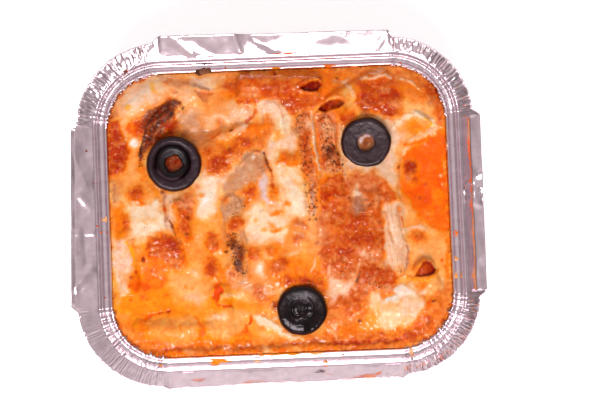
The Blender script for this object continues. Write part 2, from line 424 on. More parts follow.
    (SPOT, "copper", 0.9, 0.7, 0.3, -2.4, -15.6, 1.3, 1.9, -10),
    (SPOT, "copper", 0.95, 0.9, 0.6, 0.2, -21.8, 3.6, 3.0, 15),
    (SPOT, "rust", 0.8, 0.7, 0.2, 1.8, -20.6, 1.6, 1.2, 0),
    (SPOT, "amber", 0.8, 1.0, 0.1, 10.4, -18, 2.6, 3.4, 0),
    (SPOT, "rust", 0.9, 1.0, 0.3, 4, -27.4, 3.0, 2.0, 15),
    (SPOT, "brick", 0.9, 1.0, 0.1, 11, -27.8, 4.4, 1.8, -8),
    (SPOT, "rust", 0.8, 0.9, 0.1, 16.6, -31.6, 1.4, 2.6, 20),
    (LINE, "blush", 0.8, 0.5, 0.2, 0.8, (12.2, -23.4), (13.8, -19.8)),
    (SPOT, "brick", 0.9, 0.5, 0.2, 14.8, -13.8, 1.1, 0.8, 20),
    (SPOT, "copper", 1.0, 0.8, 0.6, -7, -31, 3.2, 3.0, 0),
    (SPOT, "rust", 0.6, 0.7, 0.2, -7.6, -31.6, 1.6, 1.4, 0),
    (SPOT, "umber", 0.8, 0.7, 0.0, -2, -36.2, 1.6, 1.8, 0),
    (SPOT, "copper", 0.8, 0.6, 0.2, -4.4, -34, 1.0, 0.8, 30),
    (SPOT, "blush", 0.8, 1.0, 0.1, -3.4, -28.8, 1.6, 2.6, 20),
    (SPOT, "stone", 0.5, 0.9, 0.0, -11.6, -29.6, 1.8, 1.4, 20),
    (AREA, "cream", 1.0, 0.7, 0.5, (-10, -40), (-7, -38.8), (-3, -40.8), (-0.6, -43.6), (2.4, -46.6),
     (9, -48.4), (3, -48.6), (-3, -46.4), (-8, -43.4)),
    (SPOT, "blush", 0.7, 0.7, 0.2, -2.4, -40.4, 1.4, 1.4, 0),
    (SPOT, "amber", 0.8, 0.8, 0.2, -6.4, -37, 1.8, 1.0, 0),
    (SPOT, "yolk", 0.6, 0.8, 0.0, -3.8, -45.8, 1.6, 0.9, -30),
    # Front left of the middle: cheese over two tubes
    (AREA, "apricot", 0.9, 1.2, 0.3, (-27, -37), (-20, -36), (-11, -39), (-12, -43), (-14, -47),
     (-24, -48), (-27, -43)),
    (SPOT, "milk", 0.8, 1.2, 0.2, -23, -38.8, 2.4, 1.2, -10),
    (LINE, "flame", 0.9, 0.45, -0.6, 0.8, (-10.6, -39.2), (-11.4, -41.6), (-12.8, -43), (-12.8, -45)),
    (SPOT, "sauce", 0.9, 0.9, -0.2, -14, -46, 2.0, 1.2, 10),
    (SPOT, "amber", 0.8, 1.0, 0.0, -12.4, -35.6, 3.4, 1.8, 0),
    (SPOT, "butter", 0.8, 0.9, 0.3, -18.6, -32.4, 3.0, 1.1, -8),
    (SPOT, "butter", 0.8, 0.9, 0.2, -14.6, -32.6, 1.4, 1.4, 30),
    (LINE, "flame", 0.9, 0.4, -0.4, 0.8, (-22.6, -34.4), (-20, -35.6), (-17.8, -35.4)),
    (SPOT, "flame", 1.0, 0.4, -1.0, -22.3, -30, 2.4, 2.9, 0),
    (SPOT, "tangerine", 0.7, 0.8, 0.2, -26.6, -28, 1.4, 2.4, 0),
    # Peppered strip
    (AREA, "apricot", 0.7, 1.8, -0.3, (-31, -4), (-22, -3), (-21, -20), (-32, -22), (-33, -12)),
    (AREA, "tan", 1.0, 0.7, 0.0, (-20.2, 5), (-20, -2), (-20.2, -8), (-20.4, -14), (-19.6, -20),
     (-18.4, -25), (-16.8, -28.6), (-13, -28.6),
     (-11.2, -24), (-11.2, -18), (-12, -12), (-12.2, -5), (-12, 1), (-13.4, 5), (-17, 7)),
    (SPOT, "amber", 0.6, 0.9, 0.0, -21.4, 1.4, 1.0, 3.4, 0),
    (SPOT, "copper", 0.7, 0.8, 0.1, -19, 3.8, 1.2, 1.2, 0),
    (SPOT, "rust", 0.9, 0.8, 0.3, -15, -5.4, 3.0, 2.2, 15),
    (SPOT, "salmon", 0.7, 0.8, 0.1, -18, -9, 1.6, 2.0, 0),
    (AREA, "bark", 0.85, 0.5, 0.1, (-17.6, -10.4), (-15.6, -10), (-14.4, -12.4), (-11.8, -14),
     (-11.4, -16.8), (-12.6, -20), (-13, -24.6),
     (-15, -23), (-16.6, -20.4), (-16, -16), (-18.6, -13.6)),
    (SPOT, "stone", 0.6, 0.5, 0.2, -16, -18, 0.9, 2.0, 10),
    (SPOT, "char", 0.8, 0.5, 0.1, -14.4, -20.4, 1.2, 1.6, 0),
    (SPOT, "char", 0.7, 0.4, 0.1, -19, -15.6, 0.7, 0.5, 0),
    (SPOT, "salmon", 0.9, 0.8, 0.2, -17, -24.4, 2.0, 2.6, 0),
    (SPOT, "blush", 0.8, 0.4, 0.1, -18, -22.4, 0.5, 1.8, -15),
    (SPOT, "copper", 1.0, 0.8, 0.6, -23.8, -12.2, 3.0, 3.4, 0),
    (SPOT, "salmon", 0.8, 0.6, 0.2, -23.8, -12.6, 1.4, 1.2, 0),
    (SPOT, "rust", 1.0, 0.8, 0.6, -24.6, -21.6, 2.8, 3.6, 8),
    (SPOT, "salmon", 0.8, 0.6, 0.2, -22.8, -22.4, 1.2, 1.8, 0),
    # Left strip
    (AREA, "cream", 0.95, 1.2, 0.3, (-31, 12.6), (-23, 13), (-21, 8), (-22, 0), (-26, -3), (-30, -1),
     (-30, 6)),
    (SPOT, "milk", 0.8, 1.0, 0.1, -26.4, 3, 2.2, 1.6, 0),
    (SPOT, "orange", 0.8, 0.6, 0.1, -27.4, 5.6, 1.2, 1.0, -20),
    (SPOT, "copper", 0.6, 0.6, 0.1, -28.6, 9, 0.8, 0.8, 0),
    (SPOT, "amber", 0.7, 1.2, 0.1, -27.6, -5.4, 3.4, 1.6, -10),
    (AREA, "blush", 0.95, 0.8, 0.0, (-43, 9), (-40, 8), (-36, 7), (-34, 7), (-36.6, 4), (-37.2, -3),
     (-36, -9), (-35, -14), (-37, -11), (-40, -6.6),
     (-43, -6), (-42.6, 0)),
    (LINE, "clay", 0.75, 0.6, -0.2, 1.1, (-41.6, 8), (-41, 3), (-41.2, -1), (-41.2, -6.4)),
    (SPOT, "rust", 0.6, 0.6, 0.1, -41.2, 1.2, 0.8, 1.2, 0),
    (SPOT, "bark", 0.9, 0.4, 0.2, -42, 7.4, 0.6, 0.6, 0),
    (LINE, "bark", 0.9, 0.4, 0.1, 0.8, (-39.6, -3.2), (-38.6, -4.4), (-38, -5.8)),
    (LINE, "umber", 0.5, 0.6, 0.0, 1.0, (-38.6, -5), (-37, -8), (-36, -11)),
    (AREA, "copper", 1.0, 0.8, 0.7, (-37, 4.4), (-33.4, 6.4), (-30.2, 5), (-30.4, 1), (-30.8, -4),
     (-31.8, -10), (-34, -11), (-36, -7), (-37, -3),
     (-36, 0.6)),
    (SPOT, "rust", 0.8, 0.8, 0.2, -34.6, 0, 1.6, 1.8, 0),
    (SPOT, "rust", 0.7, 0.7, 0.1, -33, -5, 1.4, 2.6, 0),
    (SPOT, "salmon", 0.8, 0.6, 0.2, -32.6, 3.2, 1.6, 1.2, 0),
    (SPOT, "salmon", 0.6, 0.5, 0.2, -35.4, -5, 0.7, 1.6, 0),
    (SPOT, "bark", 0.7, 0.5, 0.1, -32.6, -2.6, 0.8, 0.7, 0),
    (SPOT, "bark", 0.6, 0.5, 0.1, -33.2, -8.6, 0.9, 0.6, 0),
    # Cheese and the big blister on the left
    (AREA, "cream", 1.0, 1.0, 0.5, (-56, 3), (-50, 4.4), (-44, 4.4), (-42, 0), (-41, -4), (-40, -7.2),
     (-46, -8.4), (-50, -10), (-56, -9.6), (-54.4, -3)),
    (SPOT, "amber", 0.35, 1.2, 0.0, -46.6, -1.4, 3.0, 0.9, 15),
    (AREA, "blush", 0.95, 1.0, 0.4, (-61, -9), (-56, -9), (-53.4, -13), (-53, -20), (-56, -30),
     (-60.4, -32)),
    (LINE, "yolk", 0.8, 0.6, 0.0, 1.1, (-56, -10.6), (-53.6, -14), (-53, -19), (-50, -21)),
    (LINE, "yolk", 0.6, 0.6, 0.0, 0.7, (-50.2, -9.6), (-50, -14), (-51, -18)),
    (SPOT, "apricot", 0.9, 1.2, 0.2, -51, 7.6, 5.0, 4.6, 0),
    (SPOT, "copper", 1.0, 0.8, 0.5, -51.4, 7.4, 3.0, 2.8, 0),
    (SPOT, "rust", 0.8, 0.8, 0.2, -51.2, 8, 1.8, 1.6, 0),
    (SPOT, "orange", 0.9, 0.8, 0.2, -51.4, 3.4, 2.2, 1.6, -20),
    (LINE, "milk", 0.9, 0.3, 0.2, 0.5, (-53.4, 4.6), (-51.4, 4.2), (-50.4, 3.2)),
    (SPOT, "copper", 0.95, 0.6, 0.4, -56.2, -3.4, 1.5, 3.2, 8),
    (SPOT, "orange", 0.8, 0.9, 0.1, -57.8, -1, 1.6, 5.0, 5),
    (SPOT, "amber", 0.8, 0.9, 0.1, -57.4, -7.6, 1.4, 1.6, 0),
    (SPOT, "amber", 0.7, 0.8, 0.0, -44.6, 6.8, 1.4, 1.2, 0),
    (SPOT, "orange", 0.8, 0.7, 0.2, -49.4, 16.6, 1.4, 1.4, 0),
    (AREA, "orange", 0.95, 1.2, 0.1, (-52, -16), (-46, -13), (-40, -18), (-38, -23), (-42, -25.6),
     (-49, -24), (-52, -20.6)),
    (AREA, "copper", 1.0, 0.9, 0.8, (-47.4, -10), (-44, -8.2), (-39.4, -8.4), (-36.4, -11), (-34.8, -14.4),
     (-34.4, -18), (-36, -20.6), (-40, -21),
     (-42.6, -18.4), (-47, -17), (-49, -13.4)),
    (SPOT, "brick", 0.85, 1.2, 0.3, -38.4, -12.4, 3.4, 3.0, -20),
    (SPOT, "rust", 0.8, 0.8, 0.2, -42.6, -11, 2.0, 2.2, 0),
    (SPOT, "salmon", 0.85, 0.5, 0.3, -44.4, -15.4, 2.6, 0.9, 5),
    (SPOT, "salmon", 0.85, 0.6, 0.3, -38.4, -18.2, 2.6, 1.4, -15),
    (SPOT, "umber", 0.7, 0.6, 0.0, -37.4, -16.4, 1.2, 0.6, 0),
    (SPOT, "umber", 0.9, 0.5, 0.1, -49.8, -17.2, 0.8, 1.2, 0),
    (SPOT, "stone", 0.7, 0.4, 0.2, -37.4, -20.6, 0.6, 0.5, 0),
    # Front left
    (AREA, "butter", 0.7, 2.4, 0.2, (-39, -20), (-34, -22), (-29, -20), (-26, -27), (-25.6, -31),
     (-29, -37), (-36, -33), (-41, -28)),
    (SPOT, "blush", 0.8, 1.4, 0.1, -30.6, -32, 2.6, 2.4, 20),
    (SPOT, "milk", 0.6, 0.8, 0.1, -31.6, -23.6, 2.2, 1.0, -35),
    (LINE, "amber", 0.8, 0.5, 0.0, 0.7, (-35, -27.4), (-33.6, -28.4), (-32, -28)),
    (SPOT, "flame", 0.8, 1.4, 0.0, -50.6, -26.4, 3.8, 2.6, -8),
    (SPOT, "flame", 0.6, 1.0, 0.0, -43, -26, 3.6, 0.9, 5),
    (SPOT, "brick", 0.9, 0.5, 0.1, -54.4, -23.8, 0.8, 0.6, 0),
    (SPOT, "rust", 0.9, 0.4, 0.1, -52.6, -21.6, 0.5, 0.8, 0),
    (SPOT, "rust", 0.9, 0.4, 0.1, -46.9, -21.4, 0.7, 0.9, 0),
    (SPOT, "flame", 0.8, 0.4, 0.1, -55.2, -27, 0.5, 0.5, 0),
    (SPOT, "flame", 0.8, 0.5, 0.1, -55, -32, 0.6, 0.5, 0),
    (SPOT, "flame", 0.7, 0.5, 0.1, -48.8, -32, 0.6, 0.5, 0),
    (SPOT, "flame", 0.6, 0.8, 0.0, -41.4, -30.6, 1.0, 0.6, 0),
    (SPOT, "flame", 0.5, 1.0, 0.0, -50.4, -30.8, 1.2, 0.8, 0),
    (SPOT, "yolk", 0.7, 1.0, 0.0, -56.8, -35.4, 2.2, 1.6, 20),
    (SPOT, "peach", 0.7, 1.4, 0.1, -58, -38, 2.0, 1.4, 0),
    (AREA, "apricot", 0.6, 1.0, 0.0, (-49, -38), (-44, -37.4), (-33, -38), (-29, -42), (-30, -46),
     (-34, -48.6), (-44, -48.6), (-49, -44)),
    (SPOT, "apricot", 0.6, 2.4, 1.2, -39.4, -43.4, 10.4, 5.4, 0),
    (LINE, "flame", 0.95, 0.5, -0.5, 0.9, (-49.6, -39.4), (-47.6, -37.4), (-44, -36.8), (-40.6, -36.8)),
    (SPOT, "brick", 0.9, 0.4, -0.1, -41.2, -36.7, 0.9, 0.4, 0),
    (AREA, "sauce", 0.95, 0.7, -0.4, (-31.6, -40.2), (-29, -41.2), (-28, -44), (-28, -46.4), (-29.4, -49),
     (-32, -48.8), (-30.4, -46), (-30, -43)),
    (SPOT, "orange", 0.7, 1.0, 0.0, -51, -42, 1.6, 3.4, -20),
    (SPOT, "orange", 0.6, 0.6, 0.0, -37, -42.6, 0.7, 1.2, 0),
    (AREA, "tangerine", 0.8, 1.2, 0.2, (-62, -40), (-55, -40), (-50, -47), (-46, -52), (-54, -54),
     (-62, -50)),
    (LINE, "copper", 0.8, 0.8, 0.2, 1.6, (-61, -38), (-59, -43), (-55.6, -47.6), (-52, -50.6), (-46, -52.8)),
    (SPOT, "umber", 0.9, 0.5, 0.3, -52.6, -51.4, 1.6, 0.6, -15),
    (SPOT, "umber", 0.7, 0.5, 0.2, -54.6, -48.4, 0.9, 0.6, 0),
    (SPOT, "apricot", 0.8, 1.0, 0.2, -56.6, -44, 2.0, 1.4, -40),
    (SPOT, "salmon", 0.7, 1.4, 0.0, -41, -48.6, 7.0, 1.0, 0),
    (SPOT, "rust", 0.7, 0.8, 0.0, -41.6, -50.8, 2.4, 0.8, 0),
    (SPOT, "peach", 0.8, 0.8, 0.3, -33.4, -52, 2.4, 0.8, -8),
    (SPOT, "butter", 0.8, 0.8, 0.4, -6, -52.4, 1.8, 1.2, 0),
    (SPOT, "apricot", 0.8, 0.8, 0.4, 6, -52.4, 3.0, 0.9, 0),
    # Crust on the right
    (AREA, "fawn", 0.95, 1.2, 0.2, (24, 31), (26, 17), (26, 10), (33, 11), (38, 9), (45, 1.6), (46, 8),
     (45.6, 22), (47, 30), (43, 31)),
    (SPOT, "blush", 0.8, 1.0, 0.1, 42, 20, 2.0, 5.4, 0),
    (SPOT, "clay", 0.5, 1.2, -0.3, 27.6, 11.6, 1.2, 3.4, 0),
    (SPOT, "milk", 0.8, 0.8, 0.2, 34.6, 12.8, 2.0, 0.7, 10),
    (LINE, "tan", 0.7, 0.6, -0.3, 0.9, (46.6, 17), (46.4, 12), (46, 7), (45.4, 3)),
    (AREA, "copper", 0.85, 0.8, 0.2, (23.4, 34.6), (30.4, 34.6), (31, 31), (26.6, 29.4), (24.2, 31)),
    (SPOT, "rust", 0.8, 0.8, 0.1, 27.4, 32, 1.8, 1.4, 0),
    (AREA, "copper", 1.0, 0.8, 0.5, (27, 10), (30, 12), (33, 10.6), (36, 12.4), (39, 9), (42, 5.6),
     (45, 1.4), (42, -0.4), (39.6, -1), (39.6, -8),
     (40, -14), (39, -21), (42, -24), (43.6, -27), (43.6, -31), (42, -33.4), (39, -33.4), (36, -31),
     (33, -33), (31, -37), (27, -40), (24, -42),
     (18, -44), (15.6, -40), (18, -33), (18, -27), (16, -24), (15.2, -18), (14.8, -8), (16, 0), (17, 8),
     (22, 12), (25, 12.4)),
    (SPOT, "rust", 0.85, 1.6, 0.2, 20, 3, 3.0, 4.4, 0),
    (SPOT, "salmon", 0.75, 1.2, 0.3, 22.6, 8.4, 2.8, 2.0, 0),
    (SPOT, "salmon", 0.6, 0.8, 0.2, 23.4, -4.4, 3.6, 1.0, -15),
    (SPOT, "orange", 0.6, 0.9, 0.1, 20.6, 2.4, 1.2, 1.0, 0),
    (SPOT, "orange", 0.5, 1.4, 0.1, 22, -9.4, 4.0, 1.4, -10),
    (SPOT, "brick", 0.85, 1.4, 0.1, 31, -12.4, 5.6, 2.0, -8),
    (SPOT, "brick", 0.8, 1.4, 0.1, 31.4, -4.8, 3.6, 1.4, -12),
    (SPOT, "brick", 0.8, 1.2, 0.1, 24.4, -17.4, 3.4, 1.8, 10),
    (SPOT, "salmon", 0.8, 1.0, 0.2, 28.6, -15.6, 2.6, 1.2, -20),
    (SPOT, "salmon", 0.7, 1.0, 0.2, 37.4, -8, 1.6, 2.6, 0),
    (SPOT, "salmon", 0.7, 1.0, 0.2, 36.2, -17.6, 2.0, 2.6, 0),
    (SPOT, "salmon", 0.8, 1.0, 0.3, 39, 2.2, 3.4, 1.4, -10),
    (SPOT, "salmon", 0.6, 0.8, 0.2, 33, 6, 2.6, 1.4, 10),
    (SPOT, "peach", 0.6, 0.8, 0.2, 37.6, -0.6, 1.4, 0.9, 0),
    (SPOT, "salmon", 0.8, 1.0, 0.2, 21.6, -21.6, 2.4, 2.6, 0),
    (SPOT, "rust", 0.8, 1.2, 0.1, 17.6, -14, 1.8, 3.0, 0),
    (AREA, "blush", 0.85, 1.2, 0.1, (18, -24), (19, -20), (20, -26), (27, -28), (30, -24), (31, -22),
     (28, -29), (25, -35), (19, -36), (17, -31)),
    (SPOT, "cream", 0.8, 1.0, 0.1, 22, -31.6, 2.0, 1.4, -20),
    (SPOT, "blush", 0.8, 0.9, 0.1, 33.4, -20.2, 2.2, 1.4, 0),
    (SPOT, "fawn", 0.8, 0.8, 0.1, 37.4, -22, 2.4, 1.0, 0),
    (AREA, "rust", 0.9, 0.8, 0.4, (29, -27), (31, -22.6), (36, -23.4), (41, -24), (43.4, -27), (43.4, -29),
     (38, -29), (33, -28), (29, -30)),
    (SPOT, "brick", 0.8, 1.0, 0.1, 34, -25, 4.0, 1.2, 0),
    (AREA, "salmon", 0.8, 0.9, 0.2, (31, -29), (38, -29.6), (43.4, -30), (43, -32.6), (39, -33.4),
     (36, -31.4), (32, -32)),
    (SPOT, "rust", 0.7, 0.6, 0.1, 37.6, -29.4, 1.2, 0.8, 0),
    (LINE, "char", 0.85, 0.4, -0.2, 0.8, (30.2, -25), (29.6, -26.6), (28.8, -28.4)),
    (SPOT, "stone", 0.6, 0.4, 0.1, 32.3, -32, 0.6, 0.5, 0),
    (SPOT, "stone", 0.7, 0.5, 0.2, 24, -25.8, 0.9, 1.0, 0),
    (SPOT, "bark", 0.7, 0.4, 0.1, 23.4, -24.6, 0.6, 0.4, 0),
    (SPOT, "stone", 0.5, 0.6, 0.1, 24.6, -20, 1.2, 0.6, 0),
    (AREA, "tangerine", 0.95, 0.9, 0.2, (16, -39), (20, -36.4), (24, -37.4), (29, -37), (32, -35.6),
     (33, -38), (30, -43), (24, -45), (20, -48), (16, -45)),
    (SPOT, "rust", 0.6, 0.8, 0.2, 28.6, -38.4, 2.2, 1.4, 0),
    (SPOT, "salmon", 0.8, 0.8, 0.2, 27, -41.4, 2.6, 1.4, -30),
    (SPOT, "bark", 0.9, 0.4, 0.2, 29.2, -43, 0.8, 0.7, 0),
    (SPOT, "orange", 0.8, 1.2, 0.2, 24, -46, 5.0, 2.2, 0),
    (SPOT, "blush", 0.7, 0.6, 0.2, 21, -44, 1.8, 0.7, 20),
    (SPOT, "blush", 0.7, 0.6, 0.2, 19, -48, 0.8, 2.0, 30),
    # Pale window in the crust
    (AREA, "clay", 1.0, 0.7, -0.5, (27.8, 5), (31, 6), (33, 3), (33.8, -1), (31, -3.6), (28.6, -3),
     (27.2, 0)),
    (SPOT, "cream", 0.95, 1.0, 0.3, 29.6, 4.4, 2.2, 2.0, -30),
    (SPOT, "milk", 0.6, 0.8, 0.1, 30.6, 3.4, 1.6, 1.0, -10),
    (SPOT, "umber", 0.9, 0.4, 0.2, 33.6, 1.2, 0.7, 0.5, 0),
    (SPOT, "bark", 0.9, 0.4, 0.1, 34.8, -0.6, 0.8, 0.5, 40),
    (SPOT, "bark", 0.8, 0.3, 0.1, 27.3, 2.2, 0.35, 1.0, 0),
    (LINE, "blush", 0.8, 0.3, 0.2, 0.5, (22, 3.8), (24, 2.6), (26.8, 2.4)),
    # Seared and grilled strips
    (AREA, "salmon", 0.9, 0.6, 0.0, (8.6, 33), (10.6, 35.4), (14.2, 35), (14.8, 30), (14.6, 22),
     (15.6, 14), (16.2, 8), (15.2, 2), (14.6, -3), (13, -4),
     (12.4, 0), (12.2, 6), (11.4, 12), (9.8, 15), (9.6, 22), (8.6, 28)),
    (SPOT, "blush", 0.6, 0.8, 0.0, 12.4, 30, 1.8, 2.2, 0),
    (SPOT, "rust", 0.8, 1.0, 0.0, 12, 24, 2.0, 3.0, 0),
    (SPOT, "rust", 0.8, 0.9, 0.0, 13, 16, 1.8, 3.4, 0),
    (SPOT, "clay", 0.6, 0.8, 0.0, 8.2, 27.4, 1.4, 1.8, 20),
    (LINE, "stone", 0.6, 0.5, 0.0, 1.0, (13.6, 9), (13.6, 2), (14.4, -3)),
    (AREA, "salmon", 0.95, 0.6, 0.0, (15.6, 34.6), (20, 35.2), (23.6, 34), (24.2, 28), (24.2, 20),
     (25.2, 14), (26, 10), (24, 12), (21, 11), (17.6, 12),
     (17, 22), (16, 30)),
    (SPOT, "peach", 0.7, 1.0, 0.0, 20.6, 29, 2.6, 3.4, 0),
    (SPOT, "umber", 0.75, 1.2, 0.0, 21, 19, 2.8, 2.8, 0),
    (SPOT, "char", 0.7, 0.6, 0.0, 20.6, 20.4, 1.6, 1.0, 0),
    (SPOT, "brick", 0.7, 0.8, 0.0, 23, 15.6, 1.6, 1.4, 0),
    (LINE, "fawn", 0.9, 0.5, 0.5, 1.3, (14.6, 35), (15, 28), (15.8, 20), (17, 13.4)),
    (LINE, "fawn", 0.8, 0.6, 0.3, 1.2, (24.6, 30), (24.8, 22), (25.4, 15), (26.4, 9)),
    (SPOT, "tan", 0.8, 0.7, 0.1, 18.6, 11.6, 1.6, 0.8, 10),
    # Right strip
    (AREA, "fawn", 0.95, 0.7, 0.0, (39.8, -0.6), (43.4, 0.4), (46, 1.6), (48, -1), (47.4, -7), (48.2, -14),
     (48.2, -20), (47.6, -24.4), (45, -26.6),
     (43, -27), (42, -24.4), (39.8, -22.8), (40, -14), (39.6, -8)),
    (LINE, "blush", 0.8, 0.6, 0.1, 1.4, (41.4, -4), (43, -10), (44.4, -15)),
    (LINE, "tan", 0.8, 0.5, -0.1, 1.0, (40.6, -3), (41, -9), (42.6, -14)),
    (LINE, "tan", 0.8, 0.6, -0.2, 1.6, (45.6, -1), (45.4, -6), (46.4, -11), (47.4, -14)),
    (LINE, "rust", 0.8, 0.4, -0.3, 0.7, (46.2, -5), (46.8, -8.6)),
    (SPOT, "orange", 0.5, 0.8, 0.0, 45.6, -2.4, 0.9, 1.2, 0),
    (SPOT, "tan", 0.6, 1.4, 0.0, 46, -20, 1.6, 3.6, 0),
    (LINE, "clay", 0.5, 0.5, -0.4, 0.8, (48.4, -16), (48.2, -22), (46, -26.4), (43.6, -28)),
    (SPOT, "bark", 0.7, 0.4, 0.1, 45.2, -25.4, 0.4, 0.7, 0),
    # Right side and front right corner
    (SPOT, "apricot", 0.9, 1.6, 0.1, 49, -4, 2.4, 5.4, 10),
    (LINE, "blush", 0.9, 0.7, 0.4, 1.8, (47.4, -10.6), (50, -9), (53, -9), (55.6, -10.6)),
    (AREA, "apricot", 0.95, 1.4, 0.2, (48.6, -12), (58, -12), (63, -16), (63.6, -23), (60, -26), (57, -22),
     (53, -21), (49, -24)),
    (SPOT, "copper", 0.95, 0.8, 0.4, 52.4, -12.8, 2.6, 1.8, 10),
    (SPOT, "butter", 0.7, 0.9, 0.1, 53, -18.4, 2.2, 1.6, 0),
    (SPOT, "orange", 0.6, 1.4, 0.0, 59, -8.4, 2.6, 2.6, 0),
    (SPOT, "salmon", 0.6, 1.0, 0.0, 56, -4.6, 1.4, 2.0, 0),
    (SPOT, "flame", 0.6, 1.6, 0.0, 54.4, 3.4, 3.0, 4.4, 20),
    (SPOT, "brick", 0.6, 0.5, 0.0, 53.6, 1.8, 0.7, 0.6, 0),
    (SPOT, "brick", 0.95, 0.9, 0.5, 50.2, 13, 2.6, 2.8, 0),
    (SPOT, "umber", 0.5, 0.8, 0.1, 51.4, 12.8, 1.2, 1.6, 0),
    (SPOT, "salmon", 0.9, 0.7, 0.2, 49.4, 9.4, 1.6, 1.6, 0),
    (SPOT, "copper", 0.7, 0.8, 0.1, 51.2, 8, 1.4, 2.0, 0),
    (SPOT, "umber", 0.9, 0.35, 0.2, 46, 13.2, 0.5, 0.6, 0),
    (SPOT, "rust", 0.5, 0.5, 0.0, 56.2, 7, 1.2, 0.7, 0),
    (SPOT, "flame", 0.6, 0.8, 0.0, 61.8, 7, 1.0, 2.4, 0),
    (SPOT, "blush", 0.9, 0.4, 0.2, 61.5, 9.8, 0.5, 0.8, 0),
    (SPOT, "blush", 0.8, 0.4, 0.2, 62, 6.4, 0.4, 0.5, 0),
    (SPOT, "amber", 0.7, 1.0, 0.0, 60, 1, 2.2, 3.4, 0),
    (SPOT, "peach", 0.8, 0.7, 0.1, 62.8, 12, 0.7, 2.4, 0),
    (SPOT, "flame", 0.8, 0.5, 0.1, 60.6, -21.8, 0.8, 0.7, 0),
    (SPOT, "brick", 0.7, 0.4, 0.1, 61.8, -24.2, 0.5, 0.4, 0),
    (LINE, "orange", 0.8, 0.8, 0.1, 1.6, (63, -12), (63.2, -20), (62.8, -28)),
    (AREA, "hollow", 1.0, 0.5, -2.2, (50.2, -27.2), (52, -24.6), (53.4, -22.2), (55, -21.6), (56.6, -22.6),
     (58.2, -25), (57.6, -26.6), (54.6, -27.5),
     (52, -27.7)),
    (SPOT, "rust", 0.55, 0.9, 0.0, 53.6, -24.6, 1.6, 1.8, 30),
    (LINE, "amber", 0.95, 0.5, 0.5, 1.2, (47, -27.6), (50, -28.8), (54, -29), (57.6, -27.6), (59, -25)),
    (LINE, "orange", 0.9, 0.4, 0.2, 0.6, (50, -30.6), (53, -30.8), (56, -29.6)),
    (SPOT, "blush", 0.9, 0.8, 0.3, 52.4, -32.4, 2.6, 1.4, -10),
    (AREA, "apricot", 0.8, 1.2, 0.2, (53, -31), (58, -29), (61, -27), (61, -34), (57, -35), (54, -34)),
    (LINE, "butter", 0.9, 0.5, 0.3, 0.8, (60.8, -28.6), (60, -31), (58.8, -33.4)),
    (AREA, "tangerine", 0.9, 1.4, 0.2, (56, -34), (63, -29), (65, -36), (60, -44), (54, -50), (48, -54),
     (44, -50), (52, -44), (55, -39)),
    (AREA, "copper", 0.9, 1.2, 0.2, (44, -47.6), (50, -46), (54, -42), (57, -41), (57, -45), (52, -50),
     (48, -52.6), (45, -51)),
    (LINE, "copper", 0.8, 0.7, 0.3, 1.4, (62.6, -38), (59.6, -44.6), (55.4, -49), (50, -52.4)),
    (SPOT, "brick", 0.6, 1.2, 0.0, 47.6, -49.6, 3.0, 1.4, 10),
    (SPOT, "flame", 0.9, 0.7, 0.2, 56.2, -37.8, 1.4, 1.2, 40),
    (SPOT, "umber", 0.9, 0.4, 0.1, 56.8, -36.8, 0.9, 0.5, 30),
    (SPOT, "umber", 0.7, 0.4, 0.1, 54.6, -44.6, 0.5, 0.6, 0),
    (AREA, "butter", 1.0, 0.8, 0.4, (33, -34), (36, -31.6), (39, -33.8), (42.4, -33.8), (44.4, -30.6),
     (48, -30), (50, -33), (53.6, -37), (53.6, -40),
     (50.4, -42.6), (48.4, -45.2), (43, -46.8), (38.4, -47.6), (36, -46), (36.2, -42), (34.4, -39),
     (31.6, -36.4)),
    (AREA, "milk", 0.8, 0.8, 0.1, (44.4, -31), (47.8, -30.4), (49, -33.4), (46, -35.4), (42, -36.4),
     (37, -34.6), (36, -32.4), (40, -34.6)),
    (AREA, "blush", 0.7, 1.2, 0.1, (46, -36), (53.4, -37), (53.4, -40), (50, -42.4), (47, -44),
     (43, -43.4), (44, -39)),
    (SPOT, "amber", 0.7, 0.7, 0.0, 37.6, -40.4, 1.0, 1.4, 0),
    (SPOT, "apricot", 0.7, 0.6, 0.0, 42.6, -37.6, 2.4, 0.6, 0),
    (SPOT, "orange", 0.8, 0.6, 0.0, 42.6, -47.6, 1.6, 0.6, 10),
    (SPOT, "rust", 0.8, 0.5, 0.1, 37.6, -48, 0.9, 0.4, 0),
    (SPOT, "rust", 0.7, 0.8, 0.0, 34.8, -48.4, 1.6, 1.2, 0),
    (SPOT, "amber", 0.7, 1.2, 0.1, 33, -43, 2.6, 2.6, 0),
    (LINE, "brick", 0.85, 0.5, -0.6, 1.0, (20, -51), (30, -50.6), (38, -50.8), (44, -50.4)),
    # Paler cheese and more sauce over wide patches
    (SPOT, "milk", 0.3, 3.0, 0.0, -28, 43, 11, 7, -10),
    (SPOT, "cream", 0.3, 3.0, 0.0, -49, 42, 9, 6, 30),
    (SPOT, "blush", 0.35, 3.0, 0.0, 11.5, -9.5, 10, 8, 80),
    (SPOT, "milk", 0.2, 3.0, 0.0, -28, 7, 10, 8, 20),
    (SPOT, "blush", 0.25, 3.0, 0.0, -9, -27, 9, 7, 40),
    (SPOT, "blush", 0.2, 3.0, 0.0, 32, -28, 10, 7, 0),
    (SPOT, "blush", 0.25, 3.0, 0.0, 32, 8, 7, 9, 0),
    (SPOT, "orange", 0.2, 3.0, 0.0, -30, -20, 9, 14, 15),
    (SPOT, "orange", 0.22, 3.0, 0.0, -47, -43, 13, 8, -10),
    (SPOT, "tan", 0.5, 2.0, 0.0, -28.5, 31.5, 5, 4.5, -40),
    (SPOT, "clay", 0.4, 1.5, 0.0, -26.0, 24.8, 3.4, 3.2, 0),
    (SPOT, "orange", 0.25, 2.0, 0.0, -9, 42, 9, 5, 10),
    (SPOT, "sauce", 0.15, 2.0, 0.0, 54, 21, 7, 8, 0),
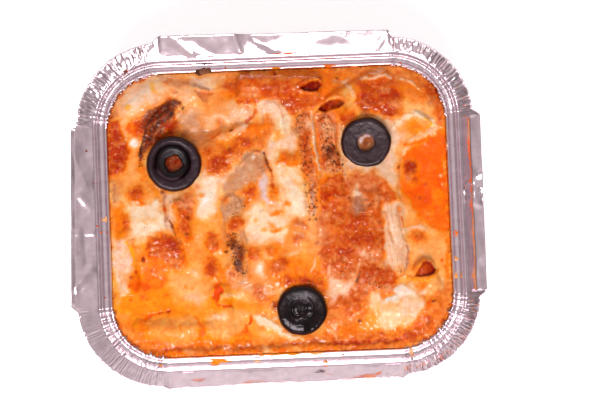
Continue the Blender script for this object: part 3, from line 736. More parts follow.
    (SPOT, "rust", 0.45, 1.6, 0.1, 29, -9.5, 7, 5, 0),
    (SPOT, "rust", 0.4, 1.4, 0.1, 23.5, -20, 3.4, 6, 0),
    (SPOT, "rust", 0.4, 1.4, 0.1, 35.5, -26.8, 6, 4, 0),
    (SPOT, "rust", 0.35, 1.4, 0.1, 24.5, 5, 3.8, 5, 0),
    # Brown food that shows through the olives' holes
    (SPOT, "umber", 1.0, 0.8, -1.2, -36.7, 18, 4.6, 4.6, 0),
    (SPOT, "clay", 1.0, 0.8, -0.6, 34.8, 23.4, 4.4, 4.4, 0),
    (SPOT, "bark", 0.7, 0.5, 0.0, 34, 22.4, 1.0, 1.2, 0),
    (LINE, "lilac", 1.0, 0.4, 0.2, 1.0, (31.9, 23.0), (32.6, 24.8), (34.2, 25.6), (36.0, 25.2)),
)

# Where pepper and burnt flecks gather: how many, their largest size, how dark the ground pepper between them
# is, and then a spot or a line as above
PEPPER = (
    (36, 0.75, 0.8, LINE, 4.8, (10.4, 34), (11.6, 22), (13.2, 6), (13.8, -4)),
    (24, 0.65, 0.65, LINE, 5.6, (18.4, 34), (20.4, 24), (21.6, 14)),
    (26, 0.9, 0.9, LINE, 5.0, (19.4, 22.6), (23.6, 16.4)),
    (24, 0.8, 0.6, LINE, 6.0, (-35.4, 39.0), (-40, 35), (-45, 30)),
    (14, 0.65, 0.8, LINE, 2.2, (-47.6, 27), (-49.6, 18.6)),
    (44, 0.9, 0.9, LINE, 4.6, (-16.6, -11), (-14.6, -17), (-13.6, -23)),
    (16, 0.6, 0.3, SPOT, -15.6, 0, 3.6, 4.6, 0),
    (10, 0.6, 0.4, LINE, 2.4, (-40, -2), (-36, -11)),
    (26, 0.6, 0.15, SPOT, 31, -12, 9.0, 18.0, 0),
    (14, 0.55, 0.3, SPOT, 36.6, -29, 5.0, 3.0, 0),
    (10, 0.6, 0.3, SPOT, 13.6, -27, 3.4, 3.0, 0),
    (8, 0.6, 0.1, SPOT, -9, 22, 10.0, 4.0, 20),
    (24, 0.55, 0.0, SPOT, 1.3, -1, 60.0, 48.0, 0),
)

# Olives: skin, the reddish light on the skin's lower side, cut flesh, the shaded cup and the sheen in it, and the
# lit side of the flat slice's hole
OLIVE_SKIN = (38.0, 22.0, 24.0)
OLIVE_EDGE = (84.0, 38.0, 22.0)
OLIVE_FLESH = {
    "olive_slice_left": (56.0, 45.0, 50.0),
    "olive_slice_right": (58.0, 46.0, 48.0),
    "olive_slice_front": (34.0, 22.0, 24.0),
}
OLIVE_CUP = (20, 10, 13)
OLIVE_CUP_SHEEN = (128, 104, 120)
OLIVE_HOLE_LIGHT = (122, 104, 108)

# Folds pressed into the flaps: from x, y to x, y, width, rise
FLAP_FOLDS = (
    (68.0, 9.6, 76.0, 4.2, 1.5, 0.8), (67.6, 4.0, 76.0, 9.6, 1.4, 0.6), (70.0, 1.6, 75.0, -1.4, 2.4, -0.9),
    (-76.0, 27.0, -70.0, 12.0, 4.0, 1.0), (-72.0, 7.0, -69.0, 3.0, 1.8, 0.4),
    (-76.0, 31.0, -70.0, 30.0, 2.0, 0.4),
    (-76.5, -6.0, -68.0, -6.4, 0.8, 0.6), (-76.0, -27.0, -69.0, -20.0, 2.2, 0.7),
    (-71.4, -6.0, -70.6, -17.0, 1.8, -0.4),
    (-36.0, 64.0, -29.0, 58.6, 2.0, 0.6), (-29.0, 64.0, -22.0, 59.0, 2.4, -0.6),
    (-13.0, 64.4, -11.0, 58.6, 1.2, 0.6),
    (-6.0, 63.6, 2.0, 58.8, 2.0, -0.5), (44.0, 64.0, 40.0, 58.6, 1.6, 0.5),
    (-40.0, -63.0, -33.0, -58.4, 2.2, 0.35), (36.0, -63.0, 41.0, -58.0, 1.4, 0.5),
    (39.0, -63.0, 44.0, -58.0, 1.2, 0.5),
)

# Burnt crumbs on the rim and back flap: x, y, size
CRUMBS = (
    (-24.9, 52.0, 3.6), (-23.7, 52.1, 3.2),
    (-19.8, 63.5, 1.5), (-18.2, 63.9, 1.3), (-16.8, 63.4, 0.9), (-13.0, 64.0, 0.7),
    (-57.4, 42.8, 0.7), (-53.9, 53.2, 0.7), (-47.0, 53.2, 0.5),
)

# Dried sauce on the foil: x, y, radius along x, radius along y, tone
STAINS = (
    (2.0, 52.2, 2.6, 0.5, "amber"), (21.8, 52.3, 2.4, 0.7, "orange"), (31.0, 51.6, 1.6, 0.35, "peach"),
    (-5.6, -53.6, 3.6, 1.1, "apricot"), (2.4, -53.7, 4.4, 1.0, "amber"), (11.6, -53.5, 4.6, 1.2, "apricot"),
    (18.4, -53.0, 3.0, 0.9, "orange"), (-30.0, -53.2, 3.6, 0.7, "orange"),
    (-23.4, -55.7, 3.6, 1.0, "amber"), (-9.0, -56.2, 1.2, 0.4, "butter"), (16.0, -57.4, 1.0, 0.5, "amber"),
    (6.0, 57.6, 4.6, 0.35, "copper"), (22.6, 57.8, 1.4, 0.3, "copper"), (48.4, 52.0, 0.3, 0.9, "copper"),
    (-67.4, 12.0, 0.4, 0.5, "umber"), (-66.6, -4.0, 0.4, 0.3, "rust"), (-69.4, 24.0, 0.3, 0.4, "umber"),
    (-63.4, -1.6, 0.9, 0.9, "peach"), (-65.0, -6.4, 0.4, 0.5, "copper"), (-64.4, -30.6, 0.35, 0.3, "brick"),
    (66.4, -12.0, 0.5, 1.2, "orange"), (66.0, -21.4, 0.6, 0.8, "apricot"),
    (65.6, -27.6, 0.7, 1.2, "apricot"),
    (47.8, -55.0, 0.8, 1.2, "peach"), (22.8, -55.2, 0.5, 0.3, "rust"), (-44.6, -56.2, 0.8, 0.3, "amber"),
    (64.2, 20.6, 0.4, 1.4, "blush"), (-16.8, 53.0, 0.4, 0.6, "copper"), (-53.8, 53.4, 0.5, 0.5, "rust"),
)

# What turns a tone as lit into paint: the brightness that the studio light gives a white surface, the light
# that the surface mirrors, and the light's own tint taken out
LIT_WHITE = 1.05
MIRRORED = 0.011
LAMP_TINT = np.array((1.0, 0.93, 0.92))


# Repeatable noise
OCTAVES = 3


def lattice(i, j, seed):
    """A number from 0 to 1 for each cell of a grid."""
    mixed = (i * 374761393 + j * 668265263 + seed * 1274126177) & 0xFFFFFFFF
    mixed = ((mixed ^ (mixed >> 13)) * 1274126177) & 0xFFFFFFFF
    mixed ^= mixed >> 16
    return (mixed & 0xFFFFFF) / 0x1000000


def waves(x, y, size, seed):
    """Smooth noise from about -1 to 1, its swells about `size` apart."""
    u, v = x / size, y / size
    i, j = np.floor(u).astype(np.int64), np.floor(v).astype(np.int64)
    u, v = u - i, v - j

    def corner(a, b):
        angle = 2 * np.pi * lattice(i + a, j + b, seed)
        return np.cos(angle) * (u - a) + np.sin(angle) * (v - b)

    fade_u = u**3 * (u * (u * 6 - 15) + 10)
    fade_v = v**3 * (v * (v * 6 - 15) + 10)
    low = corner(0, 0) + (corner(1, 0) - corner(0, 0)) * fade_u
    high = corner(0, 1) + (corner(1, 1) - corner(0, 1)) * fade_u
    return 1.5 * (low + (high - low) * fade_v)


def rough(x, y, size, seed):
    """Noise in layers, each half the size and half the strength of the one before."""
    total = np.zeros_like(x)
    for k in range(OCTAVES):
        total += waves(x, y, size / 2**k, seed + 17 * k) / 2**k
    return total


def cells(x, y, size, seed):
    """Distance to the nearest of some scattered points, in cells, and a number of its own for each point."""
    u, v = x / size, y / size
    i, j = np.floor(u).astype(np.int64), np.floor(v).astype(np.int64)
    nearest = np.full(x.shape, 9.0)
    own = np.zeros(x.shape)
    for a in (-1, 0, 1):
        for b in (-1, 0, 1):
            to_x = u - i - a - lattice(i + a, j + b, seed)
            to_y = v - j - b - lattice(i + a, j + b, seed + 57)
            gap = np.hypot(to_x, to_y)
            closer = gap < nearest
            nearest = np.where(closer, gap, nearest)
            own = np.where(closer, lattice(i + a, j + b, seed + 91), own)
    return nearest, own


def step(value, low, high):
    """0 below low, 1 above high and smooth between."""
    share = np.clip((value - low) / (high - low), 0.0, 1.0)
    return share * share * (3 - 2 * share)


# Shapes on the surface
def spot_distance(x, y, cx, cy, rx, ry, turn):
    """Signed distance to an ellipse, negative inside."""
    c, s = math.cos(math.radians(turn)), math.sin(math.radians(turn))
    dx, dy = x - cx, y - cy
    reach = np.hypot((dx * c + dy * s) / rx, (dy * c - dx * s) / ry)
    return (reach - 1.0) * min(rx, ry)


def line_distance(x, y, width, *points):
    """Signed distance to a line of a width, negative on it."""
    nearest = np.full(x.shape, 1e9)
    for (ax, ay), (bx, by) in zip(points, points[1:]):
        ex, ey = bx - ax, by - ay
        share = np.clip(((x - ax) * ex + (y - ay) * ey) / (ex * ex + ey * ey), 0.0, 1.0)
        nearest = np.minimum(nearest, np.hypot(x - ax - ex * share, y - ay - ey * share))
    return nearest - width / 2


def area_distance(x, y, *points):
    """Signed distance to the border of an area, negative inside."""
    inside = np.zeros(x.shape, bool)
    for (ax, ay), (bx, by) in zip(points, points[1:] + points[:1]):
        if ay != by:
            inside ^= ((ay > y) != (by > y)) & (x < (bx - ax) * (y - ay) / (by - ay) + ax)
    edge = line_distance(x, y, 0.0, *points, points[0])
    return np.where(inside, -edge, edge)


DISTANCES = {AREA: area_distance, SPOT: spot_distance, LINE: line_distance}


def shape_box(kind, shape):
    """Lowest and highest x and y that a shape can reach."""
    if kind == SPOT:
        reach = max(shape[2], shape[3])
        return shape[0] - reach, shape[0] + reach, shape[1] - reach, shape[1] + reach
    points = shape if kind == AREA else shape[1:]
    grow = 0.0 if kind == AREA else shape[0] / 2
    xs, ys = [p[0] for p in points], [p[1] for p in points]
    return min(xs) - grow, max(xs) + grow, min(ys) - grow, max(ys) + grow


# Form of the food
def wall_gap(x, y):
    """How far inside the tray's wall each point is."""
    near_x, near_y = OPENING_HALF_X - OPENING_CORNER, OPENING_HALF_Y - OPENING_CORNER
    dx, dy = x - OPENING_CENTRE[0], y - OPENING_CENTRE[1]
    return OPENING_CORNER - np.hypot(dx - np.clip(dx, -near_x, near_x), dy - np.clip(dy, -near_y, near_y))


def strip_frame(x, y, spine):
    """Distance along a strip as a share of its length, and signed distance across it."""
    lengths = [math.dist(a, b) for a, b in zip(spine, spine[1:])]
    nearest = np.full(x.shape, 1e9)
    share, across = np.zeros(x.shape), np.zeros(x.shape)
    start = 0.0
    for k, ((ax, ay), (bx, by)) in enumerate(zip(spine, spine[1:])):
        ex, ey = (bx - ax) / lengths[k], (by - ay) / lengths[k]
        raw = (x - ax) * ex + (y - ay) * ey
        low = -1e9 if k == 0 else 0.0
        high = 1e9 if k == len(lengths) - 1 else lengths[k]
        run = np.clip(raw, low, high)
        gap = np.hypot(x - ax - ex * run, y - ay - ey * run)
        closer = gap < nearest
        nearest = np.where(closer, gap, nearest)
        share = np.where(closer, (start + run) / sum(lengths), share)
        across = np.where(closer, (x - ax) * ey - (y - ay) * ex, across)
        start += lengths[k]
    return share, across


def strip_half_width(share, width, length):
    """Half the width of a strip along its length: wavering, and rounded off at the ends."""
    past = np.clip(np.abs(2 * share - 1), 0.0, 1.0)
    return (width / 2 + 0.35 * np.sin(share * length / 2.6)) * np.sqrt(np.maximum(1 - past**6, 0.06))


def strip_cover(share, across, width, length):
    """How much of a strip is at each point: plain, well inside its edges, and as a soft hump under cheese."""
    side = strip_half_width(share, width, length) - np.abs(across)
    end = np.minimum(share, 1 - share) * length
    inside = np.minimum(side, end)
    return step(inside, -0.6, 1.2), step(inside, 0.5, 1.5), step(inside, -1.6, 3.0)


def strip_window(x, y, index, share, length, stretch):
    """1 on the stretch of a strip that shows, 0 where cheese or crust covers it, with a wavering border."""
    first, last = stretch
    fade = 1.5 / length
    share = share + 0.8 / length * waves(x, y, 2.4, 31 + index)
    return step(share, first - fade, first + fade) * (1 - step(share, last - fade, last + fade))


def penne_top(x, y, spec):
    """Height of a tube's upper side, and how surely a point is on it."""
    cx, cy, over, turn, tilt, length, soft = spec
    c, s = math.cos(math.radians(turn)), math.sin(math.radians(turn))
    along, across = (x - cx) * c + (y - cy) * s, (y - cy) * c - (x - cx) * s
    past = np.maximum(np.abs(along) - length / 2, 0.0)
    round_part = PENNE_RADIUS**2 - across**2 - past**2 * 3
    top = FOOD_LEVEL + over + along * math.tan(math.radians(tilt)) + np.sqrt(np.maximum(round_part, 0.0))
    return top, step(round_part, 0.0, 2.0 + 2.6 * soft)


def blend(colour, tone, share):
    """Moves colours towards a tone."""
    return colour + (np.asarray(tone, float) - colour) * np.asarray(share)[..., None]


def lay_strips(x, y):
    """What the strips add: height, where they show, the same well inside their edges, and their grain."""
    height, shown, deep, fibre = (np.zeros(x.shape) for _ in range(4))
    for k, (spine, width, _, rise, stretch) in enumerate(STRIPS.values()):
        share, across = strip_frame(x, y, spine)
        length = sum(math.dist(a, b) for a, b in zip(spine, spine[1:]))
        on, inside, hump = strip_cover(share, across, width, length)
        bare = strip_window(x, y, k, share, length, stretch)
        fall = np.clip(1 - (np.abs(across) / (width / 2 + 0.6)) ** 4, 0.0, 1.0)
        height += rise * (0.8 * on * np.sqrt(fall) * bare + 0.3 * hump * (1 - bare))
        shown = np.maximum(shown, on * bare)
        deep = np.maximum(deep, inside * step(bare, 0.4, 1.0))
        thread = across * 2.2 + 0.5 * waves(x, y, 3.0, 33)
        grain = waves(thread, share * length * 0.22, 1.4, 35 + k)
        grain += 0.6 * waves(thread, share * length * 0.3, 0.7, 45 + k)
        fibre += grain * on
    return height, shown, deep, fibre


def food_form(x, y, wx, wy):
    """Height of the bake before anything is laid on it: its swells, and the penne under their cheese."""
    height = np.full(x.shape, FOOD_LEVEL)
    for cx, cy, rx, ry, rise in SWELLS:
        height += rise * np.exp(-1.2 * (((x - cx) / rx) ** 2 + ((y - cy) / ry) ** 2))
    for spec in PENNE:
        top, on_tube = penne_top(wx, wy, spec)
        over = top - height
        height += 0.5 * (over + np.sqrt(over**2 + (0.3 * spec[-1]) ** 2)) * on_tube
    height += 0.5 * waves(x, y, 6.5, 21)
    return height


def lay_shapes(plain, warped, loose, frill, height, colour, crust):
    """Lays the rows of FOOD in their order onto height, colour and crust.

    Their outlines are measured from one of three sets of points: the plain ones for small things, the warped
    ones for lines and crust, and the loosest for soft cheese.
    """
    x, y = plain
    for kind, tone, strength, soft, rise, *shape in FOOD:
        x0, x1, y0, y1 = shape_box(kind, shape)
        pad = soft + SHAPE_MARGIN
        near = np.nonzero((x > x0 - pad) & (x < x1 + pad) & (y > y0 - pad) & (y < y1 + pad))
        if not len(near[0]):
            continue
        *tone_colour, crusted = TONES[tone]
        if tone == "hollow" or (kind == SPOT and max(shape[2], shape[3]) < SMALL_SPOT):
            (px, py), ragged, inner, outer = plain, 0.2, 0.7 * soft, 0.6 * soft
        elif kind == LINE:
            (px, py), ragged, inner, outer = warped, 0.3 + 0.4 * soft, 0.8 * soft, 0.6 * soft
        elif crusted > BROWNED:
            (px, py), ragged, inner, outer = warped, 0.5 + 0.4 * soft, 1.2 * soft + 0.4, 0.8 * soft + 0.3
        else:
            (px, py), ragged, inner, outer = loose, 0.3 + 0.25 * soft, 1.5 * soft, 1.2 * soft
        edge = DISTANCES[kind](px[near], py[near], *shape) + ragged * frill[near]
        share = 1 - step(edge, -inner, outer)
        if crusted > BROWNED and kind != LINE:
            halo = (1 - step(edge, -0.6, 2.6)) * 0.8 * strength * (1 - np.clip(1.4 * crust[near], 0, 1))
            colour[near] = blend(colour[near], HALO_TONE, halo)
        depth = 1 - 0.16 * crusted * step(-edge, 0.2, 2.2)
        shaded = np.array(tone_colour) * (0.6 + 0.4 * depth)[:, None]
        colour[near] += (shaded - colour[near]) * (share * strength)[:, None]
        crust[near] += (crusted - crust[near]) * share * strength
        height[near] += rise * share


def brown(plain, warped, frill, shown, fibre, height, colour, crust):
    """Height and colour with uneven browning on them.

    It is made of small dark blisters and paler skin between them, orange oil in the cheese's creases, burnt
    points, ground pepper and the grain of the meat.
    """
    x, y = plain
    wx, wy = warped
    blister, own = cells(wx, wy, 2.2, 11)
    pimple, pimple_own = cells(wx, wy, 0.95, 12)
    mottle = 0.75 * waves(x, y, 2.6, 5) + 0.6 * waves(x, y, 1.2, 6)
    mottle = mottle + 0.35 * (own - 0.5) + 0.35 * (pimple_own - 0.5)
    swing = np.clip(mottle, -1, 1)[..., None] * (0.22 + 0.95 * crust)[..., None]
    colour = colour * (1 + swing * MOTTLE_SWING)
    oil = step(rough(wx, wy, 5.0, 43), 0.2, 0.9) * (1 - np.clip(crust * 2, 0, 1))
    colour = blend(colour, OIL_TONE, 0.3 * oil * (1 - 0.8 * shown))
    patchy = waves(wx, wy, 2.8, 97) + 0.5 * waves(wx, wy, 1.3, 98)
    crusty = np.clip(crust * 1.6 - 0.6, 0, 1) * (1 - 0.25 * shown)
    colour = blend(colour, DARK_SKIN_TONE, 0.65 * step(patchy, 0.1, 0.6) * crusty)
    colour = blend(colour, PALE_SKIN_TONE, 0.5 * step(-patchy, 0.2, 0.8) * crusty)
    glint = step(waves(x, y, 1.1, 99) + 0.6 * waves(x, y, 0.6, 100), 0.5, 0.9)
    colour = blend(colour, SHINE_TONE, 0.5 * glint * crusty)
    points = step(waves(x, y, 1.3, 93) + 0.5 * waves(x, y, 0.7, 94), 0.45, 0.9)
    colour = blend(colour, BURNT_TONE, 0.4 * (points * np.clip(crust * 1.6 - 0.7, 0, 1)))
    grains = step(waves(x, y, 1.1, 95) + 0.8 * waves(x, y, 0.6, 96), 0.0, 0.8)
    for _, _, darkness, kind, *shape in PEPPER:
        edge = DISTANCES[kind](x, y, *shape) + frill
        colour = blend(colour, GROUND_PEPPER_TONE, 0.8 * darkness * grains * (1 - step(edge, -1.4, 0.8)))
    bare = np.clip(shown + 0.2, 0, 1)[..., None]
    colour = colour * (1 + (fibre * 0.1)[..., None] * GRAIN_SWING * bare)
    height = height + crust * (0.34 * np.clip(1 - blister, 0, 1) ** 2 + 0.18 * np.clip(1 - pimple, 0, 1))
    height = height + (0.06 + 0.12 * crust) * rough(x, y, 1.5, 51)
    height = height + 0.1 * fibre * (0.2 + 0.8 * shown)
    return height, colour


def meet_wall(x, y, height, colour):
    """Rounds the food off at the tray's wall and gives it a dark rim with foam and burnt dots."""
    gap = wall_gap(x, y)
    low = FOOD_LEVEL + 0.35 + 0.45 * waves(x, y, 5.0, 61) + 0.25 * waves(x, y, 1.8, 62)
    height = low + (height - low) * np.sin(np.pi / 2 * np.clip(gap / EDGE_ROUNDING, 0, 1))
    edge = 1 - step(gap, 0.1, 0.7 + 0.9 * np.abs(waves(x, y, 3.0, 63)))
    edge = edge * np.clip(0.1 + waves(x, y, 2.4, 64), 0, 1)
    colour = blend(colour, EDGE_TONE, 0.7 * edge)
    foam = (1 - step(gap, 0.4, 3.2)) * step(waves(x, y, 1.6, 65) + 0.5 * waves(x, y, 4.0, 66), 0.1, 0.6)
    colour = blend(colour, FOAM_TONE, 0.4 * foam)
    dots = (1 - step(gap, 0.4, 1.5)) * step(waves(x, y, 0.9, 67) + 0.7 * waves(x, y, 3.6, 68), 0.35, 0.7)
    colour = blend(colour, DOT_TONE, 0.55 * dots)
    return height + 0.3 * foam * np.clip(gap, 0, 1), colour


def dress(x, y):
    """The food at each point: height, display colour, crust, and whether it is well inside a bare strip."""
    wx = x + 0.75 * waves(x, y, 5.0, 1) + 0.3 * waves(x, y, 1.9, 2)
    wy = y + 0.75 * waves(x, y, 5.0, 3) + 0.3 * waves(x, y, 1.9, 4)
    loose_x = wx + 1.8 * waves(x, y, 7.0, 81) + 1.0 * waves(x, y, 3.0, 82)
    loose_y = wy + 1.8 * waves(x, y, 7.0, 83) + 1.0 * waves(x, y, 3.0, 84)
    frill = 0.6 * waves(x, y, 1.9, 7) + 0.6 * waves(x, y, 1.0, 8)
    height = food_form(x, y, wx, wy)
    strip_rise, shown, deep, fibre = lay_strips(x, y)
    height += strip_rise

    warmth = rough(x, y, 10.0, 41)
    colour = blend(np.full(x.shape + (3,), BASE_TONE), PALE_TONE, np.clip(warmth * 1.2, 0, 1))
    colour = blend(colour, DEEP_TONE, np.clip(-warmth * 1.2, 0, 1))
    crust = np.clip(0.15 - 0.2 * warmth, 0.0, 0.4)
    lay_shapes((x, y), (wx, wy), (loose_x, loose_y), frill, height, colour, crust)
    height, colour = brown((x, y), (wx, wy), frill, shown, fibre, height, colour, crust)
    colour = MIDDLE_TONE + (colour - MIDDLE_TONE) * CONTRAST
    height, colour = meet_wall(x, y, height, colour)
    return height, np.clip(colour, 2, 255), np.clip(crust, 0, 1), deep


def as_albedo(colour):
    """Display colour to the reflectance that shows as it under the studio light, less the light mirrored."""
    share = colour / 255
    linear = np.where(share <= 0.04045, share / 12.92, ((share + 0.055) / 1.055) ** 2.4)
    return np.clip(np.maximum(linear - MIRRORED, linear * 0.2) * LAMP_TINT / LIT_WHITE, 0.0, 0.92)


# Meshes
def new_piece(name, points, faces, material, colour=None, crust=None):
    """A smooth mesh object from points in millimetres, with each point's paint and crust where given."""
    mesh = bpy.data.meshes.new(name)
    mesh.from_pydata((np.asarray(points) * MM).tolist(), [], faces)
    mesh.validate()
    if colour is not None:
        paint = mesh.attributes.new("paint", "FLOAT_COLOR", "POINT")
        rgba = np.ones((len(points), 4), np.float32)
        rgba[:, :3] = as_albedo(np.asarray(colour))
        paint.data.foreach_set("color", rgba.ravel())
    if crust is not None:
        dryness = mesh.attributes.new("crust", "FLOAT", "POINT")
        dryness.data.foreach_set("value", np.asarray(crust, np.float32))
    mesh.shade_smooth()
    mesh.materials.append(material)
    obj = bpy.data.objects.new(name, mesh)
    bpy.context.scene.collection.objects.link(obj)
    return obj


def finish_piece(obj, slot, *nodes):
    """Puts a piece on the part's one body, in its slot, and in place of the nodes that it stands for."""
    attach(obj, "root")
    if nodes:
        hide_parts(*nodes)


def grid_faces(rows, columns, closed=False):
    """Quads over a grid of points numbered row by row."""
    faces = []
    for row in range(rows - 1):
        here, above = row * columns, (row + 1) * columns
        for column in range(columns if closed else columns - 1):
            after = (column + 1) % columns
            faces.append((here + column, here + after, above + after, above + column))
    return faces


def square_to_opening(u, v, gap):
    """Carries the square from -1 to 1 onto the opening less a gap, bent only near its rim."""
    half_x, half_y, corner = OPENING_HALF_X - gap, OPENING_HALF_Y - gap, OPENING_CORNER - gap
    near_x, near_y = half_x - corner, half_y - corner
    edge = np.maximum(np.maximum(np.abs(u), np.abs(v)), 1e-6)
    a, b = np.abs(u) * half_x / edge, np.abs(v) * half_y / edge
    dot = a * near_x + b * near_y
    size = a * a + b * b
    root = np.sqrt(np.maximum(dot**2 - size * (near_x**2 + near_y**2 - corner**2), 0.0))
    shrink = np.where((a > near_x) & (b > near_y), (dot + root) / size, 1.0)
    bend = 1 + (shrink - 1) * edge**3
    return OPENING_CENTRE[0] + u * half_x * bend, OPENING_CENTRE[1] + v * half_y * bend


def towards_base(x, y, offset):
    """The point at an offset from the opening's outline that is nearest to each point of it."""
    near_x, near_y = OPENING_HALF_X - OPENING_CORNER, OPENING_HALF_Y - OPENING_CORNER
    dx, dy = x - OPENING_CENTRE[0], y - OPENING_CENTRE[1]
    ax, ay = np.clip(dx, -near_x, near_x), np.clip(dy, -near_y, near_y)
    length = np.hypot(dx - ax, dy - ay)
    scale = (OPENING_CORNER + offset) / length
    return OPENING_CENTRE[0] + ax + (dx - ax) * scale, OPENING_CENTRE[1] + ay + (dy - ay) * scale


BAKE_COLUMNS = 312
BAKE_ROWS = 262
BAKE_INSET = 0.1
# The bake's hidden sides: offset from the opening's outline, and height
BAKE_SIDES = ((-1.6, 29.0), (-4.3, 16.0), (-7.4, 2.4), (-8.6, 1.0))
SIDE_CRUST = 0.3
# How far the bake's surface lies under a strip's own
STRIP_SINK = 1.7


def make_bake(material):
    """The whole bake: its surface to the finest relief, and the tray's shape below."""
    u, v = np.meshgrid(np.linspace(-1, 1, BAKE_COLUMNS), np.linspace(-1, 1, BAKE_ROWS))
    x, y = square_to_opening(u, v, BAKE_INSET)
    height, colour, crust, deep = dress(x, y)
    height = height - STRIP_SINK * deep
    points = [np.stack([x, y, height], -1).reshape(-1, 3)]
    faces = grid_faces(BAKE_ROWS, BAKE_COLUMNS)
    last = BAKE_ROWS - 1
    rim = list(range(BAKE_COLUMNS - 1))
    rim += [row * BAKE_COLUMNS + BAKE_COLUMNS - 1 for row in range(last)]
    rim += [last * BAKE_COLUMNS + column for column in range(BAKE_COLUMNS - 1, 0, -1)]
    rim += [row * BAKE_COLUMNS for row in range(last, 0, -1)]
    rim = np.array(rim)
    flat_x, flat_y = x.ravel()[rim], y.ravel()[rim]
    upper = rim
    for offset, level in BAKE_SIDES:
        low_x, low_y = towards_base(flat_x, flat_y, offset)
        start = sum(len(p) for p in points)
        points.append(np.stack([low_x, low_y, np.full(len(rim), level)], -1))
        lower = start + np.arange(len(rim))
        for i in range(len(rim)):
            after = (i + 1) % len(rim)
            faces.append((int(lower[i]), int(lower[after]), int(upper[after]), int(upper[i])))
        upper = lower
    faces.append(tuple(int(i) for i in upper[::-1]))
    extra = sum(len(p) for p in points[1:])
    colour = np.concatenate([colour.reshape(-1, 3), np.tile(np.array(SIDE_TONE), (extra, 1))])
    crust = np.concatenate([crust.ravel(), np.full(extra, SIDE_CRUST)])
    bake = new_piece("pasta_bake_dressed", np.concatenate(points), faces, material, colour, crust)
    finish_piece(bake, "bake", "pasta_bake")


STRIP_SPACING = 0.36
STRIP_ACROSS = 27
STRIP_UNDER = 7


def evened(values):
    """One coordinate of a centre line, averaged over nine stations, with its ends kept."""
    padded = np.concatenate([2 * values[0] - values[4:0:-1], values, 2 * values[-1] - values[-2:-6:-1]])
    return np.convolve(padded, np.ones(9) / 9, "valid")


def make_strip(index, name, spec, material):
    """One slice of chicken, closed, its top on the food's surface and its sides rounded down into it."""
    spine, width, thickness, _, stretch = spec
    points = np.array(spine, float)
    lengths = np.linalg.norm(np.diff(points, axis=0), axis=1)
    marks = np.concatenate([[0.0], np.cumsum(lengths)])
    total = marks[-1]
    count = int(total / STRIP_SPACING)
    run = np.linspace(0, total, count)
    cx, cy = evened(np.interp(run, marks, points[:, 0])), evened(np.interp(run, marks, points[:, 1]))
    dx, dy = np.gradient(cx), np.gradient(cy)
    norm = np.hypot(dx, dy)
    side_x, side_y = (dy / norm)[:, None], (-dx / norm)[:, None]
    cx, cy = cx[:, None], cy[:, None]
    half = strip_half_width(run / total, width, total)[:, None]
    across = -np.cos(np.linspace(0, np.pi, STRIP_ACROSS))
    across = np.sign(across) * np.abs(across) ** 0.8
    x, y = cx + side_x * half * across, cy + side_y * half * across
    height, colour, crust, _ = dress(x, y)
    bare = strip_window(x, y, index, (run / total)[:, None], total, stretch)
    inside = np.minimum(half * (1 - np.abs(across)), np.minimum(run, total - run)[:, None])
    top = height + 0.04 - 1.5 * (1 - step(inside, 0.0, 0.5)) - 1.2 * (1 - step(bare, 0.0, 0.4))
    under = np.linspace(1, -1, STRIP_UNDER + 2)[1:-1]
    below = top.mean(axis=1)[:, None] - thickness * np.sqrt(1 - under**4 * 0.7)
    under_x, under_y = cx + side_x * half * under, cy + side_y * half * under
    rows = np.concatenate([np.stack([x, y, top], -1), np.stack([under_x, under_y, below], -1)], axis=1)
    around = STRIP_ACROSS + STRIP_UNDER
    colour = np.concatenate([colour, np.repeat(colour[:, -1:], STRIP_UNDER, axis=1) * 0.9], axis=1)
    crust = np.concatenate([crust, np.repeat(crust[:, -1:], STRIP_UNDER, axis=1)], axis=1)
    faces = [face[::-1] for face in grid_faces(count, around, closed=True)]
    faces.append(tuple(range(around)))
    faces.append(tuple((count - 1) * around + i for i in range(around - 1, -1, -1)))
    points, colour = rows.reshape(-1, 3), colour.reshape(-1, 3)
    strip = new_piece(f"{name}_dressed", points, faces, material, colour, crust.ravel())
    finish_piece(strip, "chicken", name)


# Olive slices
OLIVE_STEPS = 168
OLIVE_SPACING = 0.22


def olive_rows(radius, thickness, hole, cup):
    """Half section of a slice: from the hole's upper edge over the rim and down to the hole's lower edge."""
    top = thickness / 2
    if hole and cup > 1:
        keys = [
            (hole, -top), (hole + 0.05, top - cup - 0.4), (hole + 0.35, top - cup),
            (radius * 0.5, top - cup + 0.2), (radius * 0.6, top - cup * 0.7),
            (radius * 0.66, top - 0.8), (radius * 0.72, top - 0.3), (radius * 0.78, top - 0.06),
        ]
    elif hole:
        keys = [
            (hole, -top), (hole, top - 0.8), (hole + 0.25, top - 0.35), (hole + 0.9, top - 0.3),
            (radius * 0.6, top - 0.22), (radius * 0.78, top - 0.1),
        ]
    else:
        keys = [
            (0.02, top - 1.5), (radius * 0.12, top - 1.3), (radius * 0.25, top - 1.0),
            (radius * 0.42, top - 0.95), (radius * 0.55, top - 0.5), (radius * 0.7, top - 0.1),
        ]
    keys += [
        (radius * 0.85, top), (radius * 0.92, top * 0.9), (radius * 0.97, top * 0.68),
        (radius * 0.99, top * 0.4), (radius, 0.0), (radius * 0.96, -top * 0.6),
        (radius * 0.82, -top), (max(hole, 0.02), -top),
    ]
    keys = np.array(keys)
    gaps = np.concatenate([[0.0], np.cumsum(np.linalg.norm(np.diff(keys, axis=0), axis=1))])
    marks = np.linspace(0, gaps[-1], int(gaps[-1] / OLIVE_SPACING))
    rows = np.stack([np.interp(marks, gaps, keys[:, 0]), np.interp(marks, gaps, keys[:, 1])], -1)
    for _ in range(3):
        rows[1:-1] = (rows[:-2] + 2 * rows[1:-1] + rows[2:]) / 4
    return rows


